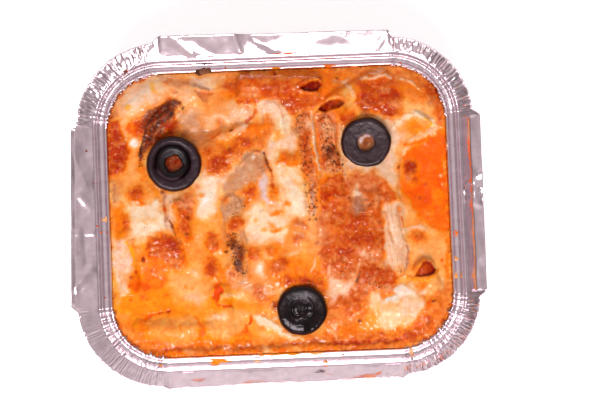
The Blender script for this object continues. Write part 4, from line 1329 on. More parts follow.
def end_relief(x, y, px, py, share, flat, radius):
    """What an olive's closed end adds: wrinkles that swirl round a knob, and a front that slopes down."""
    knob_x, knob_y = x + 1.1, y - 1.0
    wrinkled = (1 - step(share, 0.3, 0.62)) * flat
    swirl = np.hypot(knob_x, knob_y) + 0.5 * waves(x + 3, y, 2.6, 74)
    relief = wrinkled * 0.25 * waves(x, y, 1.6, 75) - wrinkled * 0.5 * step(np.cos(swirl * 2.4), 0.2, 0.9)
    relief = relief + 0.7 * np.exp(-((knob_x / 1.6) ** 2 + (knob_y / 1.4) ** 2))
    lip = np.maximum(-y - radius * 0.3, 0.0) * step(0.5 - px, 0.0, 0.5)
    relief = relief - 0.2 * step(share, 0.3, 0.6) * step(-lip, -0.01, 0.0) * flat * (0.5 + 0.5 * py)
    return relief - 0.33 * lip * flat * (1 + 0.12 * waves(x, y, 3.2, 79))


def make_olive(index, name, spec, material):
    """One slice of olive, leaning on the food: a cupped ring, a flat ring or the olive's closed end."""
    x, y, radius, thickness, hole, cup, front, right = spec
    cupped = hole > 0 and cup > 1
    rows = olive_rows(radius, thickness, hole, cup)
    angle = np.linspace(0, 2 * np.pi, OLIVE_STEPS, endpoint=False)
    r, a = np.meshgrid(rows[:, 0], angle, indexing="ij")
    z = np.repeat(rows[:, 1:2], OLIVE_STEPS, axis=1)
    px, py = np.cos(a), np.sin(a)
    loop_x, loop_y = px * 3 + index * 20, py * 3
    share = r / radius
    flat = step(z, 0.0, thickness * 0.4)
    recess = np.zeros(r.shape)
    if cupped:
        recess = 1 - step(share, 0.6, 0.72)
        bend = step(share, 0.36, 0.52) * (1 - step(share, 0.68, 0.86))
        r = r * (1 + 0.1 * np.cos(a - 2.6) * bend)
    wander = 0.028 * waves(loop_x, loop_y, 2.6, 71) + 0.014 * waves(loop_x, loop_y, 1.1, 72)
    r = r * (1 + wander * step(share, 0.2, 0.7))
    if cupped:
        z = z + 0.2 * np.sin(a * 5 + 2 * waves(loop_x, loop_y, 2.0, 73)) * recess * flat
        z = z + 0.25 * waves(r * px, r * py, 3.0, 78) * recess * flat
    elif not hole:
        z = z + end_relief(r * px, r * py, px, py, share, flat, radius)
    z = z + 0.05 * rough(r * px + index * 9, r * py, 1.8, 76) * flat
    if hole:
        uneven = 0.06 * np.cos(4 * a + 1.2) + 0.1 * waves(loop_x, loop_y, 1.7, 70)
        r = r * (1 + uneven * (1.0 if cupped else 0.4) * (1 - step(share, 0.3, 0.5)))
    points = np.stack([r * px, r * py, z], -1).reshape(-1, 3)
    lean = Matrix.Rotation(math.radians(front), 3, "X") @ Matrix.Rotation(math.radians(right), 3, "Y")
    points = points @ np.array(lean).T
    points += np.array((x, y, surface_level(x, y) - OLIVE_SINK + thickness / 2))

    cut = flat * (1 - step(share, 0.86, 0.97))
    colour = blend(np.full(r.shape + (3,), OLIVE_SKIN), OLIVE_FLESH[name], cut)
    side = step(share, 0.9, 0.98) * (0.5 + 0.5 * np.clip(-py - px * 0.4, -1, 1))
    colour = blend(colour, OLIVE_EDGE, 0.75 * side * (0.7 + 0.5 * waves(loop_x * 4, z * 1.4, 1.2, 80)))
    shade = recess * np.clip(flat + 0.4, 0, 1) * (0.8 + 0.15 * np.clip(px + py, -1, 1))
    colour = blend(colour, OLIVE_CUP, shade)
    bruise = np.clip(rough(r * px + index * 7, r * py, 3.0, 77), -1, 1)
    colour *= 1 + 0.2 * bruise[..., None]
    if cupped:
        crescent = recess * step(share, 0.5, 0.58) * step(-py - 0.5 * px, 0.55, 1.0)
        colour = blend(colour, OLIVE_CUP_SHEEN, crescent * 0.6)
    elif hole:
        colour = blend(colour, OLIVE_HOLE_LIGHT, (1 - step(share, 0.35, 0.39)) * step(py, 0.1, 0.7) * 0.8)
    faces = [face[::-1] for face in grid_faces(len(rows), OLIVE_STEPS, closed=True)]
    last = (len(rows) - 1) * OLIVE_STEPS
    if hole:
        for k in range(OLIVE_STEPS):
            after = (k + 1) % OLIVE_STEPS
            faces.append((k, after, last + after, last + k))
    else:
        faces.append(tuple(range(OLIVE_STEPS)))
        faces.append(tuple(last + k for k in range(OLIVE_STEPS))[::-1])
    satin = np.full(len(points), 1.0) if hole else step(py, -0.3, 0.1).ravel()
    olive = new_piece(f"{name}_dressed", points, faces, material, colour.reshape(-1, 3), satin)
    finish_piece(olive, "olive", name)


def surface_level(x, y):
    """Height of the plain bake, where an olive sits."""
    height = FOOD_LEVEL
    for cx, cy, rx, ry, rise in SWELLS:
        height += rise * math.exp(-1.2 * (((x - cx) / rx) ** 2 + ((y - cy) / ry) ** 2))
    return height


# Foil tray
CORNER_STATIONS = 216
CORNER_JOIN = 0.045
FLAP_SPACING = 0.9
PLEATS = 27
PLEAT_DEPTHS = (0.85, 0.7, 0.3, 1.0)
HEM_RADIUS = 0.42
HEM_TURNS = (40, 85, 130, 180, 235, 290)
FOIL_THICKNESS = 0.12
FLANGE_ROWS = 20
FLANGE_LIFT = 0.2
FLAP_CURVE = 1.25
# Numbers of stretches of the rim, anticlockwise: the four flaps from the right one, then the four corners
RIGHT_FLAP, LEFT_FLAP, FIRST_CORNER, FRONT_LEFT_CORNER = 0, 2, 4, 6

# The foil in section: offset from the opening's outline, height, and how deeply the corners' pleats go. The
# base and the foot come first, then a straight wall with rows at these shares of its height, and then the rim's
# two beads
FOIL_FOOT = ((-12.0, 0.35, 0.0), (-8.6, 0.35, 0.0), (-7.6, 0.42, 0.0), (-7.0, 0.8, 0.1), (-6.6, 1.8, 0.2))
WALL_FOOT = -6.6
WALL_FOOT_LEVEL = 1.8
WALL_RISE = 31.0
WALL_SHARES = (0.12, 0.25, 0.4, 0.55, 0.7, 0.82, 0.9, 0.95)
FOIL_BEADS = (
    (-0.08, 32.7, 0.3), (0.02, 33.2, 0.3), (0.14, 33.7, 0.35), (0.4, 34.05, 0.4), (0.7, 34.14, 0.45),
    (1.0, 34.02, 0.5), (1.2, 33.7, 0.55), (1.38, 33.35, 0.6), (1.7, 33.2, 0.6), (2.2, 33.16, 0.6),
    (2.8, 33.2, 0.6), (3.2, 33.36, 0.6), (3.45, 33.8, 0.6), (3.7, 34.08, 0.6), (3.95, 34.14, 0.6),
    (4.2, 33.98, 0.6), (4.45, 33.5, 0.6), (4.7, 33.12, 0.6), (5.05, 33.05, 0.6), (5.35, 33.2, 0.65),
)


def rim_stations():
    """Stations round the rim, anticlockwise.

    Each has its anchor, its way out, its reach and rise, its share of the way round a corner, which is 0 on a
    flap, and the number of its flap or corner.
    """
    reach_x, reach_y = OPENING_HALF_X - OPENING_CORNER, OPENING_HALF_Y - OPENING_CORNER
    sides = (
        ("right", (1, 0), (0, 1), "back_right"),
        ("back", (0, 1), (-1, 0), "back_left"),
        ("left", (-1, 0), (0, -1), "front_left"),
        ("front", (0, -1), (1, 0), "front_right"),
    )
    stations = []
    for index, (side, out, along, corner) in enumerate(sides):
        half, across = (reach_y, reach_x) if out[0] else (reach_x, reach_y)
        count = round(2 * half / FLAP_SPACING)
        start, end, rise = FLAPS[side]
        for k in range(count):
            share = k / count
            slide = half * (2 * share - 1)
            anchor = (out[0] * across + along[0] * slide, out[1] * across + along[1] * slide)
            stations.append((*anchor, *out, start + (end - start) * share, rise, 0.0, index))
        anchor = (out[0] * across + along[0] * half, out[1] * across + along[1] * half)
        first = math.atan2(out[1], out[0])
        corner_start, corner_end, corner_rise = CORNERS[corner]
        next_start, _, next_rise = FLAPS[sides[(index + 1) % 4][0]]
        for k in range(CORNER_STATIONS):
            share = k / CORNER_STATIONS
            angle = first + math.pi / 2 * share
            way_out = (math.cos(angle), math.sin(angle))
            reach = corner_start + (corner_end - corner_start) * share
            height = corner_rise
            if share < CORNER_JOIN:
                mix = share / CORNER_JOIN
                reach, height = end + (reach - end) * mix, rise + (height - rise) * mix
            elif share > 1 - CORNER_JOIN:
                mix = (1 - share) / CORNER_JOIN
                reach = next_start + (reach - next_start) * mix
                height = next_rise + (height - next_rise) * mix
            stations.append((*anchor, *way_out, reach, height, max(share, 1e-4), index + FIRST_CORNER))
    return np.array(stations)


def tray_rows():
    """Rows of the foil: offset from the opening, height, share out along the flange, and pleat depth."""
    wall = [(WALL_FOOT - WALL_FOOT * s, WALL_FOOT_LEVEL + WALL_RISE * s, 0.3) for s in WALL_SHARES]
    rows = [(offset, level, 0.0, pleat) for offset, level, pleat in (*FOIL_FOOT, *wall, *FOIL_BEADS)]
    outs = [k / FLANGE_ROWS for k in range(FLANGE_ROWS + 1)]
    return rows + [(FLANGE_ROOT, RIM_LEVEL + FLANGE_LIFT, out, 0.65 + 0.5 * out) for out in outs]


def zigzag(phase):
    """Straight slopes up and down between -1 and 1, one of each to a whole number."""
    return np.abs((phase % 1.0) * 2 - 1) * 2 - 1


def make_tray(material):
    """One sheet of foil from base to rolled hem, pleated round the corners and creased on the flaps."""
    stations = rim_stations()
    ax, ay, nx, ny, reach, rise, corner, index = stations.T
    on_corner = corner > 0
    ease = np.where(on_corner, step(np.minimum(corner, 1 - corner), 0.0, 0.05), 0.0)
    phase = corner * PLEATS + 0.5 * np.sin(corner * 31 + index) + 0.4 * np.sin(corner * 77 + 2 * index)
    own = lattice(np.floor(phase).astype(np.int64), index.astype(np.int64), 83)
    depth = np.array(PLEAT_DEPTHS)[np.clip(index.astype(int) - FIRST_CORNER, 0, 3)]
    fold = zigzag(phase) * (0.15 + 1.5 * own**2) * depth * ease
    fine = zigzag(phase * 1.5) * (0.5 + 0.8 * own) * ease
    crinkle = np.where(index == FRONT_LEFT_CORNER, 0.08, 0.24)
    points = []
    for offset, level, out, pleat in tray_rows():
        distance = np.full(len(stations), offset)
        height = np.full(len(stations), level)
        if offset >= FLANGE_ROOT:
            distance = FLANGE_ROOT + (reach - FLANGE_ROOT) * out
            steep = 0.62 * np.clip((out - 0.08) / 0.4, 0.0, 1.0) + 0.38 * out
            curve = np.where(on_corner, out**1.1, np.where(index == RIGHT_FLAP, steep, out**FLAP_CURVE))
            height = RIM_LEVEL + FLANGE_LIFT + rise * curve
            height = height + 0.5 * fold * (0.3 + 0.7 * out) + 0.06 * fine
            crumple = waves(corner * 60 + index * 9, np.full(len(stations), out * 2.5), 1.0, 88)
            height = height + crinkle * ease * crumple
            height = height - np.where(index == LEFT_FLAP, 0.7, 0.0) * step(np.array(out), 0.84, 1.0)
            distance = distance - 0.3 * np.abs(fold) * out
        elif offset > 0.9:
            height = height + 0.34 * fine * pleat
            distance = distance + 0.14 * fold * pleat
        elif level > 33.0:
            tooth = np.maximum(fine, 0.0) * (1 - step(np.array(offset), 0.3, 0.9))
            distance = distance - 1.2 * tooth
            height = height + 0.12 * fold + 0.1 * fine + 0.6 * tooth
        elif offset > WALL_FOOT - 0.1:
            distance = distance + 0.6 * fold * pleat
        x = OPENING_CENTRE[0] + ax + nx * (OPENING_CORNER + distance)
        y = OPENING_CENTRE[1] + ay + ny * (OPENING_CORNER + distance)
        if out > 0:
            height = height + flap_relief(x, y, out, on_corner)
        elif offset > 1.0:
            height = height + 0.03 * waves(x, y, 9.0, 85)
        elif WALL_FOOT - 0.1 < offset < -0.2:
            push = 0.12 * waves(x + y, height * 0.6, 9.0, 86) + 0.05 * waves(x - y, height * 0.9, 3.5, 89)
            x, y = x + nx * push, y + ny * push
        points.append(np.stack([x, y, height], -1))
    edge = points[-1]
    normal = np.stack([nx, ny, np.zeros(len(stations))], -1)
    for turn in HEM_TURNS:
        angle = math.radians(turn)
        shift = normal * (HEM_RADIUS * math.sin(angle))
        lift = np.array((0.0, 0.0, HEM_RADIUS * (math.cos(angle) - 1)))
        points.append(edge + shift + lift)
    columns = len(stations)
    faces = [(a, d, c, b) for a, b, c, d in grid_faces(len(points), columns, closed=True)]
    faces.append(tuple(range(columns)))
    tray = new_piece("foil_tray_dressed", np.concatenate(points), faces, material)
    solidify = tray.modifiers.new("foil", "SOLIDIFY")
    solidify.thickness = FOIL_THICKNESS * MM
    solidify.offset = -1.0
    finish_piece(tray, "foil", "foil_tray")


def facets(x, y, size, turn, shift):
    """Flat slopes meeting in straight creases."""
    c, s = math.cos(math.radians(turn)), math.sin(math.radians(turn))
    return zigzag((x * c + y * s) / size + shift + 0.12 * waves(x, y, size * 2.2, int(size * 10)))


def crease(x, y, ax, ay, bx, by, width):
    """1 on a straight fold between two points, falling off in straight slopes to each side."""
    return np.clip(1 - np.maximum(line_distance(x, y, 0.0, (ax, ay), (bx, by)), 0.0) / width, 0.0, 1.0)


def flap_relief(x, y, out, on_corner):
    """Creases and dents of the flange, growing outwards."""
    relief = 0.42 * facets(x, y, 23.0, 63.0, 0.1) + 0.26 * facets(x, y, 14.0, 112.0, 0.4)
    relief = relief + 0.08 * facets(x, y, 7.0, 24.0, 0.7)
    relief = relief * np.where(on_corner, 0.3, 1.0) * min(out * 1.6, 1.0)
    back_left = step(y, 56.0, 59.0) * (1 - step(x, -14.0, -8.0)) * np.where(on_corner, 0.0, 1.0)
    relief = relief * (1 - 0.6 * back_left) + 1.7 * back_left * out
    for ax, ay, bx, by, width, rise in FLAP_FOLDS:
        relief = relief + rise * crease(x, y, ax, ay, bx, by, width)
    return relief + 0.012 * rough(x, y, 2.6, 87)


# Small things: rings, and points round each ring, of specks, crumbs and stains
SPECK_GRID = (5, 8)
CRUMB_GRID = (9, 14)
STAIN_GRID = (5, 22)
LUMP_FLATNESS = 0.7
CRUMB_PARTS = 5
# How much a flap rises under a crumb or a stain, and over what length
CRUMB_FLAP_RISE = 3.4
STAIN_FLAP_RISE = 3.0
FLAP_LENGTH = 7.4
STAIN_HEIGHT = 0.34
STAIN_SINK = 0.02
STAIN_CRUST = 0.3


def lump(size, seed, grid):
    """A small irregular lump of rings between two poles: a knobbly crumb or a faceted speck."""
    rings, sides = grid
    points = []
    for i in range(rings):
        tilt = math.pi * i / (rings - 1)
        reach, level = math.sin(tilt), math.cos(tilt) * LUMP_FLATNESS
        for k in range(sides):
            turn = 2 * math.pi * (k + 0.5 * (i % 2)) / sides
            points.append((reach * math.cos(turn), reach * math.sin(turn), level))
    local = np.random.default_rng(seed)
    shape = np.array(points)
    if grid == CRUMB_GRID:
        knobs = waves(shape[:, 0] * 3 + seed, shape[:, 1] * 3 + shape[:, 2], 1.4, seed)
        shape *= (1 + 0.3 * knobs)[:, None]
    else:
        shape *= local.uniform(0.7, 1.15, (len(points), 1))
    shape[:sides] = (0, 0, LUMP_FLATNESS)
    shape[-sides:] = (0, 0, -LUMP_FLATNESS)
    stretch = np.array((local.uniform(0.7, 1.4), local.uniform(0.6, 1.1), 1.0))
    spin = Matrix.Rotation(local.uniform(0, 6.28), 3, "Z")
    turn = spin @ Matrix.Rotation(local.uniform(-0.6, 0.6), 3, "X")
    shape = (shape * stretch) @ np.array(turn).T * size / 2
    return shape, [face[::-1] for face in grid_faces(rings, sides, closed=True)]


def gather(name, lumps, material, slot, crust):
    """One piece of many small lumps: shape, faces, place and colour of each."""
    points, faces, colours = [], [], []
    start = 0
    for shape, own_faces, place, colour in lumps:
        points.append(shape + np.array(place))
        faces += [tuple(start + i for i in face) for face in own_faces]
        colours.append(np.tile(np.array(colour, float), (len(shape), 1)))
        start += len(shape)
    colours = np.concatenate(colours)
    piece = new_piece(name, np.concatenate(points), faces, material, colours, np.full(start, crust))
    finish_piece(piece, slot)


def make_pepper(material):
    """Flecks of pepper and burnt cheese lying on the food, clear of the wall and the olives."""
    spots = []
    for count, size, _, kind, *shape in PEPPER:
        x0, x1, y0, y1 = shape_box(kind, shape)
        placed = 0
        while placed < count:
            x, y = rng.uniform(x0, x1), rng.uniform(y0, y1)
            if DISTANCES[kind](np.array([x]), np.array([y]), *shape)[0] < 0 and wall_gap(x, y) > 2:
                if all(math.dist((x, y), o[:2]) > o[2] for o in OLIVES.values()):
                    spots.append((x, y, size * rng.uniform(0.35, 1.0)))
                    placed += 1
    levels = dress(np.array([s[0] for s in spots]), np.array([s[1] for s in spots]))[0]
    lumps = []
    for k, (x, y, size) in enumerate(spots):
        shape, faces = lump(size, k, SPECK_GRID)
        colour = np.array(PEPPER_TONE) * rng.uniform(0.6, 1.5)
        lumps.append((shape, faces, (x, y, levels[k] - size * 0.02), colour))
    gather("pepper_specks", lumps, material, "chicken", 1.0)


def foil_level(x, y, flap_rise):
    """Height of the foil under a point, on the rim or on a flap."""
    offset = -float(wall_gap(np.array(x), np.array(y)))
    if offset >= FLANGE_ROOT:
        return RIM_LEVEL + FLANGE_LIFT + flap_rise * ((offset - FLANGE_ROOT) / FLAP_LENGTH) ** FLAP_CURVE
    rows = [row for row in tray_rows() if row[2] == 0]
    return float(np.interp(offset, [row[0] for row in rows], [row[1] for row in rows]))


def make_crumbs(material):
    """Burnt crumbs on the rim and the back flap, each a cluster of lumps."""
    lumps = []
    for k, (x, y, size) in enumerate(CRUMBS):
        level = foil_level(x, y, CRUMB_FLAP_RISE)
        for part in range(CRUMB_PARTS):
            shape, faces = lump(size * rng.uniform(0.5, 0.9), 900 + 7 * k + part, CRUMB_GRID)
            shift_x, shift_y = rng.normal(0, size * 0.26), rng.normal(0, size * 0.16)
            place = (x + shift_x, y + shift_y, level + size * rng.uniform(0.1, 0.35))
            colour = np.array(CRUMB_TONE) * rng.uniform(0.55, 1.4)
            lumps.append((shape, faces, place, colour))
    gather("burnt_crumbs", lumps, material, "bake", 1.0)


def make_stains(material):
    """Thin dried drops of sauce, following the foil under them."""
    drops = []
    rings, sides = STAIN_GRID
    for k, (cx, cy, rx, ry, tone) in enumerate(STAINS):
        points = []
        for ring in range(rings):
            share = ring / (rings - 1)
            for side in range(sides):
                angle = 2 * math.pi * side / sides
                ragged = 1 + 0.3 * math.sin(angle * 3 + k) + 0.18 * math.sin(angle * 5 + 2 * k)
                x = cx + math.cos(angle) * rx * share * ragged
                y = cy + math.sin(angle) * ry * share * ragged
                level = foil_level(x, y, STAIN_FLAP_RISE) + STAIN_HEIGHT * (1 - share**2) - STAIN_SINK
                points.append((x, y, level))
        drops.append((np.array(points), grid_faces(rings, sides, closed=True), (0, 0, 0), TONES[tone][:3]))
    gather("sauce_stains", drops, material, "bake", STAIN_CRUST)


# Materials
def new_material(name):
    """A material with its node tree and its shader."""
    material = bpy.data.materials.new(name)
    material.use_nodes = True
    tree = material.node_tree
    return material, tree, tree.nodes["Principled BSDF"]


def add_node(tree, kind, **values):
    """A node with some of its settings."""
    node = tree.nodes.new(kind)
    for key, value in values.items():
        setattr(node, key, value)
    return node


def set_inputs(node, **values):
    """Numbers and colours on a node's own sockets, whose names have spaces for underscores."""
    for name, value in values.items():
        node.inputs[name.replace("_", " ")].default_value = value


def add_noise(tree, scale, detail, rough_share=0.55):
    """Noise fixed to the object."""
    place = add_node(tree, "ShaderNodeTexCoord")
    noise = add_node(tree, "ShaderNodeTexNoise")
    set_inputs(noise, Scale=scale, Detail=detail, Roughness=rough_share)
    tree.links.new(place.outputs["Object"], noise.inputs["Vector"])
    return noise.outputs["Fac"]


def add_cells(tree, scale, feature):
    """Distances in a pattern of cells fixed to the object."""
    place = add_node(tree, "ShaderNodeTexCoord")
    pattern = add_node(tree, "ShaderNodeTexVoronoi", feature=feature)
    set_inputs(pattern, Scale=scale)
    tree.links.new(place.outputs["Object"], pattern.inputs["Vector"])
    return pattern.outputs["Distance"]


def map_range(tree, source, low, high, to_low, to_high):
    """Carries a range of values onto another."""
    node = add_node(tree, "ShaderNodeMapRange")
    for socket, value in zip(("From Min", "From Max", "To Min", "To Max"), (low, high, to_low, to_high)):
        node.inputs[socket].default_value = value
    tree.links.new(source, node.inputs["Value"])
    return node.outputs["Result"]


def add_math(tree, operation, *values):
    """A sum, product or the like of node outputs and numbers."""
    node = add_node(tree, "ShaderNodeMath", operation=operation)
    for socket, value in zip(node.inputs, values):
        if isinstance(value, float):
            socket.default_value = value
        else:
            tree.links.new(value, socket)
    return node.outputs["Value"]


def add_ramp(tree, source, low, high):
    """A colour between two, each given as its place from 0 to 1 and its colour."""
    ramp = add_node(tree, "ShaderNodeValToRGB")
    for element, (position, colour) in zip(ramp.color_ramp.elements, (low, high)):
        element.position, element.color = position, colour
    tree.links.new(source, ramp.inputs["Fac"])
    return ramp.outputs["Color"]


def add_bump(tree, shader, height, distance):
    """Relief in the shading, with its distance in millimetres."""
    bump = add_node(tree, "ShaderNodeBump")
    set_inputs(bump, Distance=distance * MM)
    tree.links.new(height, bump.inputs["Height"])
    tree.links.new(bump.outputs["Normal"], shader.inputs["Normal"])
    return bump


def use_paint(tree, shader, channels):
    """The piece's own paint as the base colour, with a factor for each of red, green and blue."""
    paint = add_node(tree, "ShaderNodeAttribute", attribute_name="paint")
    factors = add_node(tree, "ShaderNodeCombineColor")
    for name, factor in zip(("Red", "Green", "Blue"), channels):
        tree.links.new(factor, factors.inputs[name])
    tint = add_node(tree, "ShaderNodeMix", data_type="RGBA", blend_type="MULTIPLY")
    set_inputs(tint, Factor=1.0)
    tree.links.new(paint.outputs["Color"], tint.inputs["A"])
    tree.links.new(factors.outputs["Color"], tint.inputs["B"])
    tree.links.new(tint.outputs["Result"], shader.inputs["Base Color"])


def crust_output(tree):
    """How crusted or satin the surface is at each point of a piece."""
    return add_node(tree, "ShaderNodeAttribute", attribute_name="crust").outputs["Fac"]


def food_material(name, wet, dry, fleck, bump_size, subsurface, gloss):
    """Painted food: finely mottled, bumpier where it is crusted, with wet patches and drops of fat."""
    material, tree, shader = new_material(name)
    links = tree.links
    spread = add_noise(tree, 620.0, 3.0)
    fine = map_range(tree, add_noise(tree, 2400.0, 3.0), 0.3, 0.7, 1.0 - fleck, 1.0 + fleck)
    broad = map_range(tree, spread, 0.3, 0.7, 0.94, 1.06)
    both = add_math(tree, "MULTIPLY", fine, broad)
    use_paint(tree, shader, (broad, both, add_math(tree, "MULTIPLY", both, fine)))
    links.new(map_range(tree, spread, 0.35, 0.65, wet, dry), shader.inputs["Roughness"])
    crust = crust_output(tree)
    bubbles = add_cells(tree, 1000.0, "SMOOTH_F1")
    bubbles = add_math(tree, "MULTIPLY", bubbles, add_math(tree, "MULTIPLY", crust, 0.7))
    relief = add_math(tree, "SUBTRACT", add_noise(tree, 1300.0, 4.0, 0.65), bubbles)
    bump = add_bump(tree, shader, relief, bump_size)
    links.new(map_range(tree, crust, 0.0, 1.0, 0.3, 1.0), bump.inputs["Strength"])
    drops = add_noise(tree, 760.0, 3.0, 0.6)
    links.new(map_range(tree, drops, 0.52, 0.62, gloss * 0.3, gloss * 4.0), shader.inputs["Coat Weight"])
    set_inputs(shader, Subsurface_Weight=subsurface, Subsurface_Radius=(1.0, 0.36, 0.16))
    set_inputs(shader, Subsurface_Scale=1.2 * MM, Coat_Roughness=0.1)
    set_inputs(shader, Specular_IOR_Level=0.12, Specular_Tint=(1.0, 0.82, 0.66, 1.0))
    return material


def olive_material():
    """Black olive: satin where it is cut, and wetter on the rest."""
    material, tree, shader = new_material("black_olive")
    spread = add_noise(tree, 700.0, 4.0)
    shade = map_range(tree, spread, 0.3, 0.7, 0.8, 1.25)
    use_paint(tree, shader, (shade, shade, shade))
    wet = map_range(tree, spread, 0.35, 0.65, 0.12, 0.24)
    matt = add_math(tree, "ADD", wet, add_math(tree, "MULTIPLY", crust_output(tree), 0.16))
    tree.links.new(matt, shader.inputs["Roughness"])
    set_inputs(add_bump(tree, shader, add_noise(tree, 1300.0, 3.0), 0.08), Strength=0.4)
    set_inputs(shader, Specular_IOR_Level=0.3, Specular_Tint=(1.0, 0.86, 0.92, 1.0))
    return material


# What the foil mirrors: two tints on the rim and flaps, and a darker one on the steep wall, which would
# otherwise be blown out by the white floor. The wall's tint fades between these heights at the rim
FOIL_TINTS = ((0.87, 0.7, 0.765, 1), (0.97, 0.805, 0.87, 1))
WALL_TINT = (0.44, 0.4, 0.42, 1)
WALL_TINT_END = (32.2, 33.2)


def foil_material():
    """Bright foil with fine cracks and soft dents, darker on the tray's steep wall."""
    material, tree, shader = new_material("tray_foil")
    links = tree.links
    set_inputs(shader, Metallic=1.0)
    spread = add_noise(tree, 300.0, 4.0)
    tint = add_ramp(tree, spread, (0.35, FOIL_TINTS[0]), (0.65, FOIL_TINTS[1]))
    form = add_node(tree, "ShaderNodeNewGeometry")
    upright = add_node(tree, "ShaderNodeSeparateXYZ")
    links.new(form.outputs["True Normal"], upright.inputs["Vector"])
    flatness = map_range(tree, add_math(tree, "ABSOLUTE", upright.outputs["Z"]), 0.25, 0.6, 0.0, 1.0)
    place = add_node(tree, "ShaderNodeSeparateXYZ")
    links.new(form.outputs["Position"], place.inputs["Vector"])
    level = map_range(tree, place.outputs["Z"], WALL_TINT_END[0] * MM, WALL_TINT_END[1] * MM, 0.0, 0.65)
    wall = add_node(tree, "ShaderNodeMix", data_type="RGBA")
    wall.inputs["A"].default_value = WALL_TINT
    links.new(tint, wall.inputs["B"])
    links.new(add_math(tree, "MAXIMUM", flatness, level), wall.inputs["Factor"])
    links.new(wall.outputs["Result"], shader.inputs["Base Color"])
    links.new(map_range(tree, spread, 0.35, 0.65, 0.13, 0.2), shader.inputs["Roughness"])
    creases = map_range(tree, add_cells(tree, 190.0, "DISTANCE_TO_EDGE"), 0.0, 0.12, 1.0, 0.0)
    dents = add_math(tree, "MULTIPLY", add_noise(tree, 900.0, 3.0), 0.1)
    relief = add_math(tree, "ADD", add_math(tree, "MULTIPLY", creases, 0.12), dents)
    set_inputs(add_bump(tree, shader, relief, 0.16), Strength=0.6)
    return material


def floor_material():
    """A plain pale floor with a little light of its own, so that it shows as white."""
    material, tree, shader = new_material("studio_floor")
    low, high = (0.0, (0.90, 0.90, 0.90, 1)), (1.0, (0.93, 0.93, 0.93, 1))
    tint = add_ramp(tree, add_noise(tree, 3.0, 2.0), low, high)
    tree.links.new(tint, shader.inputs["Base Color"])
    set_inputs(shader, Roughness=0.7, Emission_Color=(1.0, 1.0, 1.0, 1.0), Emission_Strength=0.55)
    return material


# Studio. Lights: place and size in metres, and power in watts
LIGHTS = {
    "key": ((-0.08, -0.66, 0.98), (0.6, 0.42), 11.0),
    "fill": ((0.0, 1.0, 0.55), (2.4, 0.9), 1.2),
}
LIGHTS_AIM = (0, 0, 0.03)
FLOOR_REACH = 2.5
WORLD_TINT = (1.0, 0.915, 0.915, 1.0)
WORLD_OVERHEAD = 0.56
WORLD_SIDES = -0.4
WORLD_ENDS = 0.1
# The photograph's viewpoint: its aim and distance in millimetres, and its angles in degrees
AIM = (11.2, 1.05, 34.0)
CAMERA_DISTANCE = 750.0
CAMERA_ELEVATION = 86.0
CAMERA_ROLL = 2.3
PIXELS_PER_MM = 2.70
IMAGE_WIDTH = 612
SENSOR = 36.0


def add_floor():
    """The floor that the tray stands on."""
    mesh = bpy.data.meshes.new("floor")
    low, high = -FLOOR_REACH, FLOOR_REACH
    mesh.from_pydata([(low, low, 0), (high, low, 0), (high, high, 0), (low, high, 0)], [], [(0, 1, 2, 3)])
    mesh.materials.append(floor_material())
    floor = bpy.data.objects.new("floor", mesh)
    bpy.context.scene.collection.objects.link(floor)


def add_light(name, place, size, power):
    """A soft rectangular light turned to the food."""
    data = bpy.data.lights.new(name, "AREA")
    data.shape = "RECTANGLE"
    data.size, data.size_y = size
    data.energy = power
    light = bpy.data.objects.new(name, data)
    light.location = place
    light.rotation_mode = "QUATERNION"
    light.rotation_quaternion = (Vector(LIGHTS_AIM) - Vector(place)).to_track_quat("-Z", "Y")
    bpy.context.scene.collection.objects.link(light)


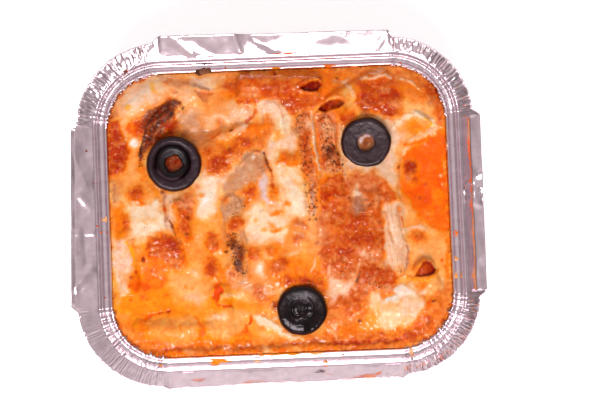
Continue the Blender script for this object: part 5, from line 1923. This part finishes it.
def add_world():
    """Light all round for the foil to mirror: grey overhead, brighter front and back, darker at the sides."""
    world = bpy.data.worlds.new("studio")
    world.use_nodes = True
    bpy.context.scene.world = world
    tree = world.node_tree
    place = add_node(tree, "ShaderNodeTexCoord")
    split = add_node(tree, "ShaderNodeSeparateXYZ")
    tree.links.new(place.outputs["Generated"], split.inputs["Vector"])
    strength = []
    for axis, change in (("X", WORLD_SIDES), ("Y", WORLD_ENDS)):
        square = add_math(tree, "MULTIPLY", split.outputs[axis], split.outputs[axis])
        strength.append(add_math(tree, "MULTIPLY", square, change))
    total = add_math(tree, "ADD", WORLD_OVERHEAD, add_math(tree, "ADD", *strength))
    background = tree.nodes["Background"]
    background.inputs["Color"].default_value = WORLD_TINT
    tree.links.new(total, background.inputs["Strength"])


def add_camera():
    """The camera at the photograph's viewpoint, almost straight above."""
    data = bpy.data.cameras.new("camera")
    data.sensor_width = SENSOR
    data.lens = SENSOR * CAMERA_DISTANCE / (IMAGE_WIDTH / PIXELS_PER_MM)
    data.clip_start, data.clip_end = 0.01, 20.0
    camera = bpy.data.objects.new("camera", data)
    lift = math.radians(CAMERA_ELEVATION)
    back = Vector((0.0, -math.cos(lift), math.sin(lift)))
    camera.location = (Vector(AIM) + back * CAMERA_DISTANCE) * MM
    camera.rotation_mode = "QUATERNION"
    roll = Quaternion((0, 0, 1), -math.radians(CAMERA_ROLL))
    camera.rotation_quaternion = (-back).to_track_quat("-Z", "Y") @ roll
    bpy.context.scene.collection.objects.link(camera)
    bpy.context.scene.camera = camera


def main():
    """Builds the tray, the food and the studio."""
    bpy.context.scene.view_settings.view_transform = "Standard"
    bake = food_material(
        "bake_surface", wet=0.34, dry=0.46, fleck=0.11, bump_size=0.28, subsurface=0.2, gloss=0.2)
    chicken = food_material(
        "chicken_surface", wet=0.4, dry=0.55, fleck=0.18, bump_size=0.2, subsurface=0.15, gloss=0.1)
    crumb = food_material(
        "burnt_crumb", wet=0.5, dry=0.7, fleck=0.25, bump_size=0.15, subsurface=0.0, gloss=0.1)
    make_tray(foil_material())
    make_bake(bake)
    for index, (name, spec) in enumerate(STRIPS.items()):
        make_strip(index, name, spec, chicken)
    olive = olive_material()
    for index, (name, spec) in enumerate(OLIVES.items()):
        make_olive(index, name, spec, olive)
    make_pepper(crumb)
    make_crumbs(crumb)
    make_stains(bake)
    add_floor()
    for name, light in LIGHTS.items():
        add_light(name, *light)
    add_world()
    add_camera()


main()
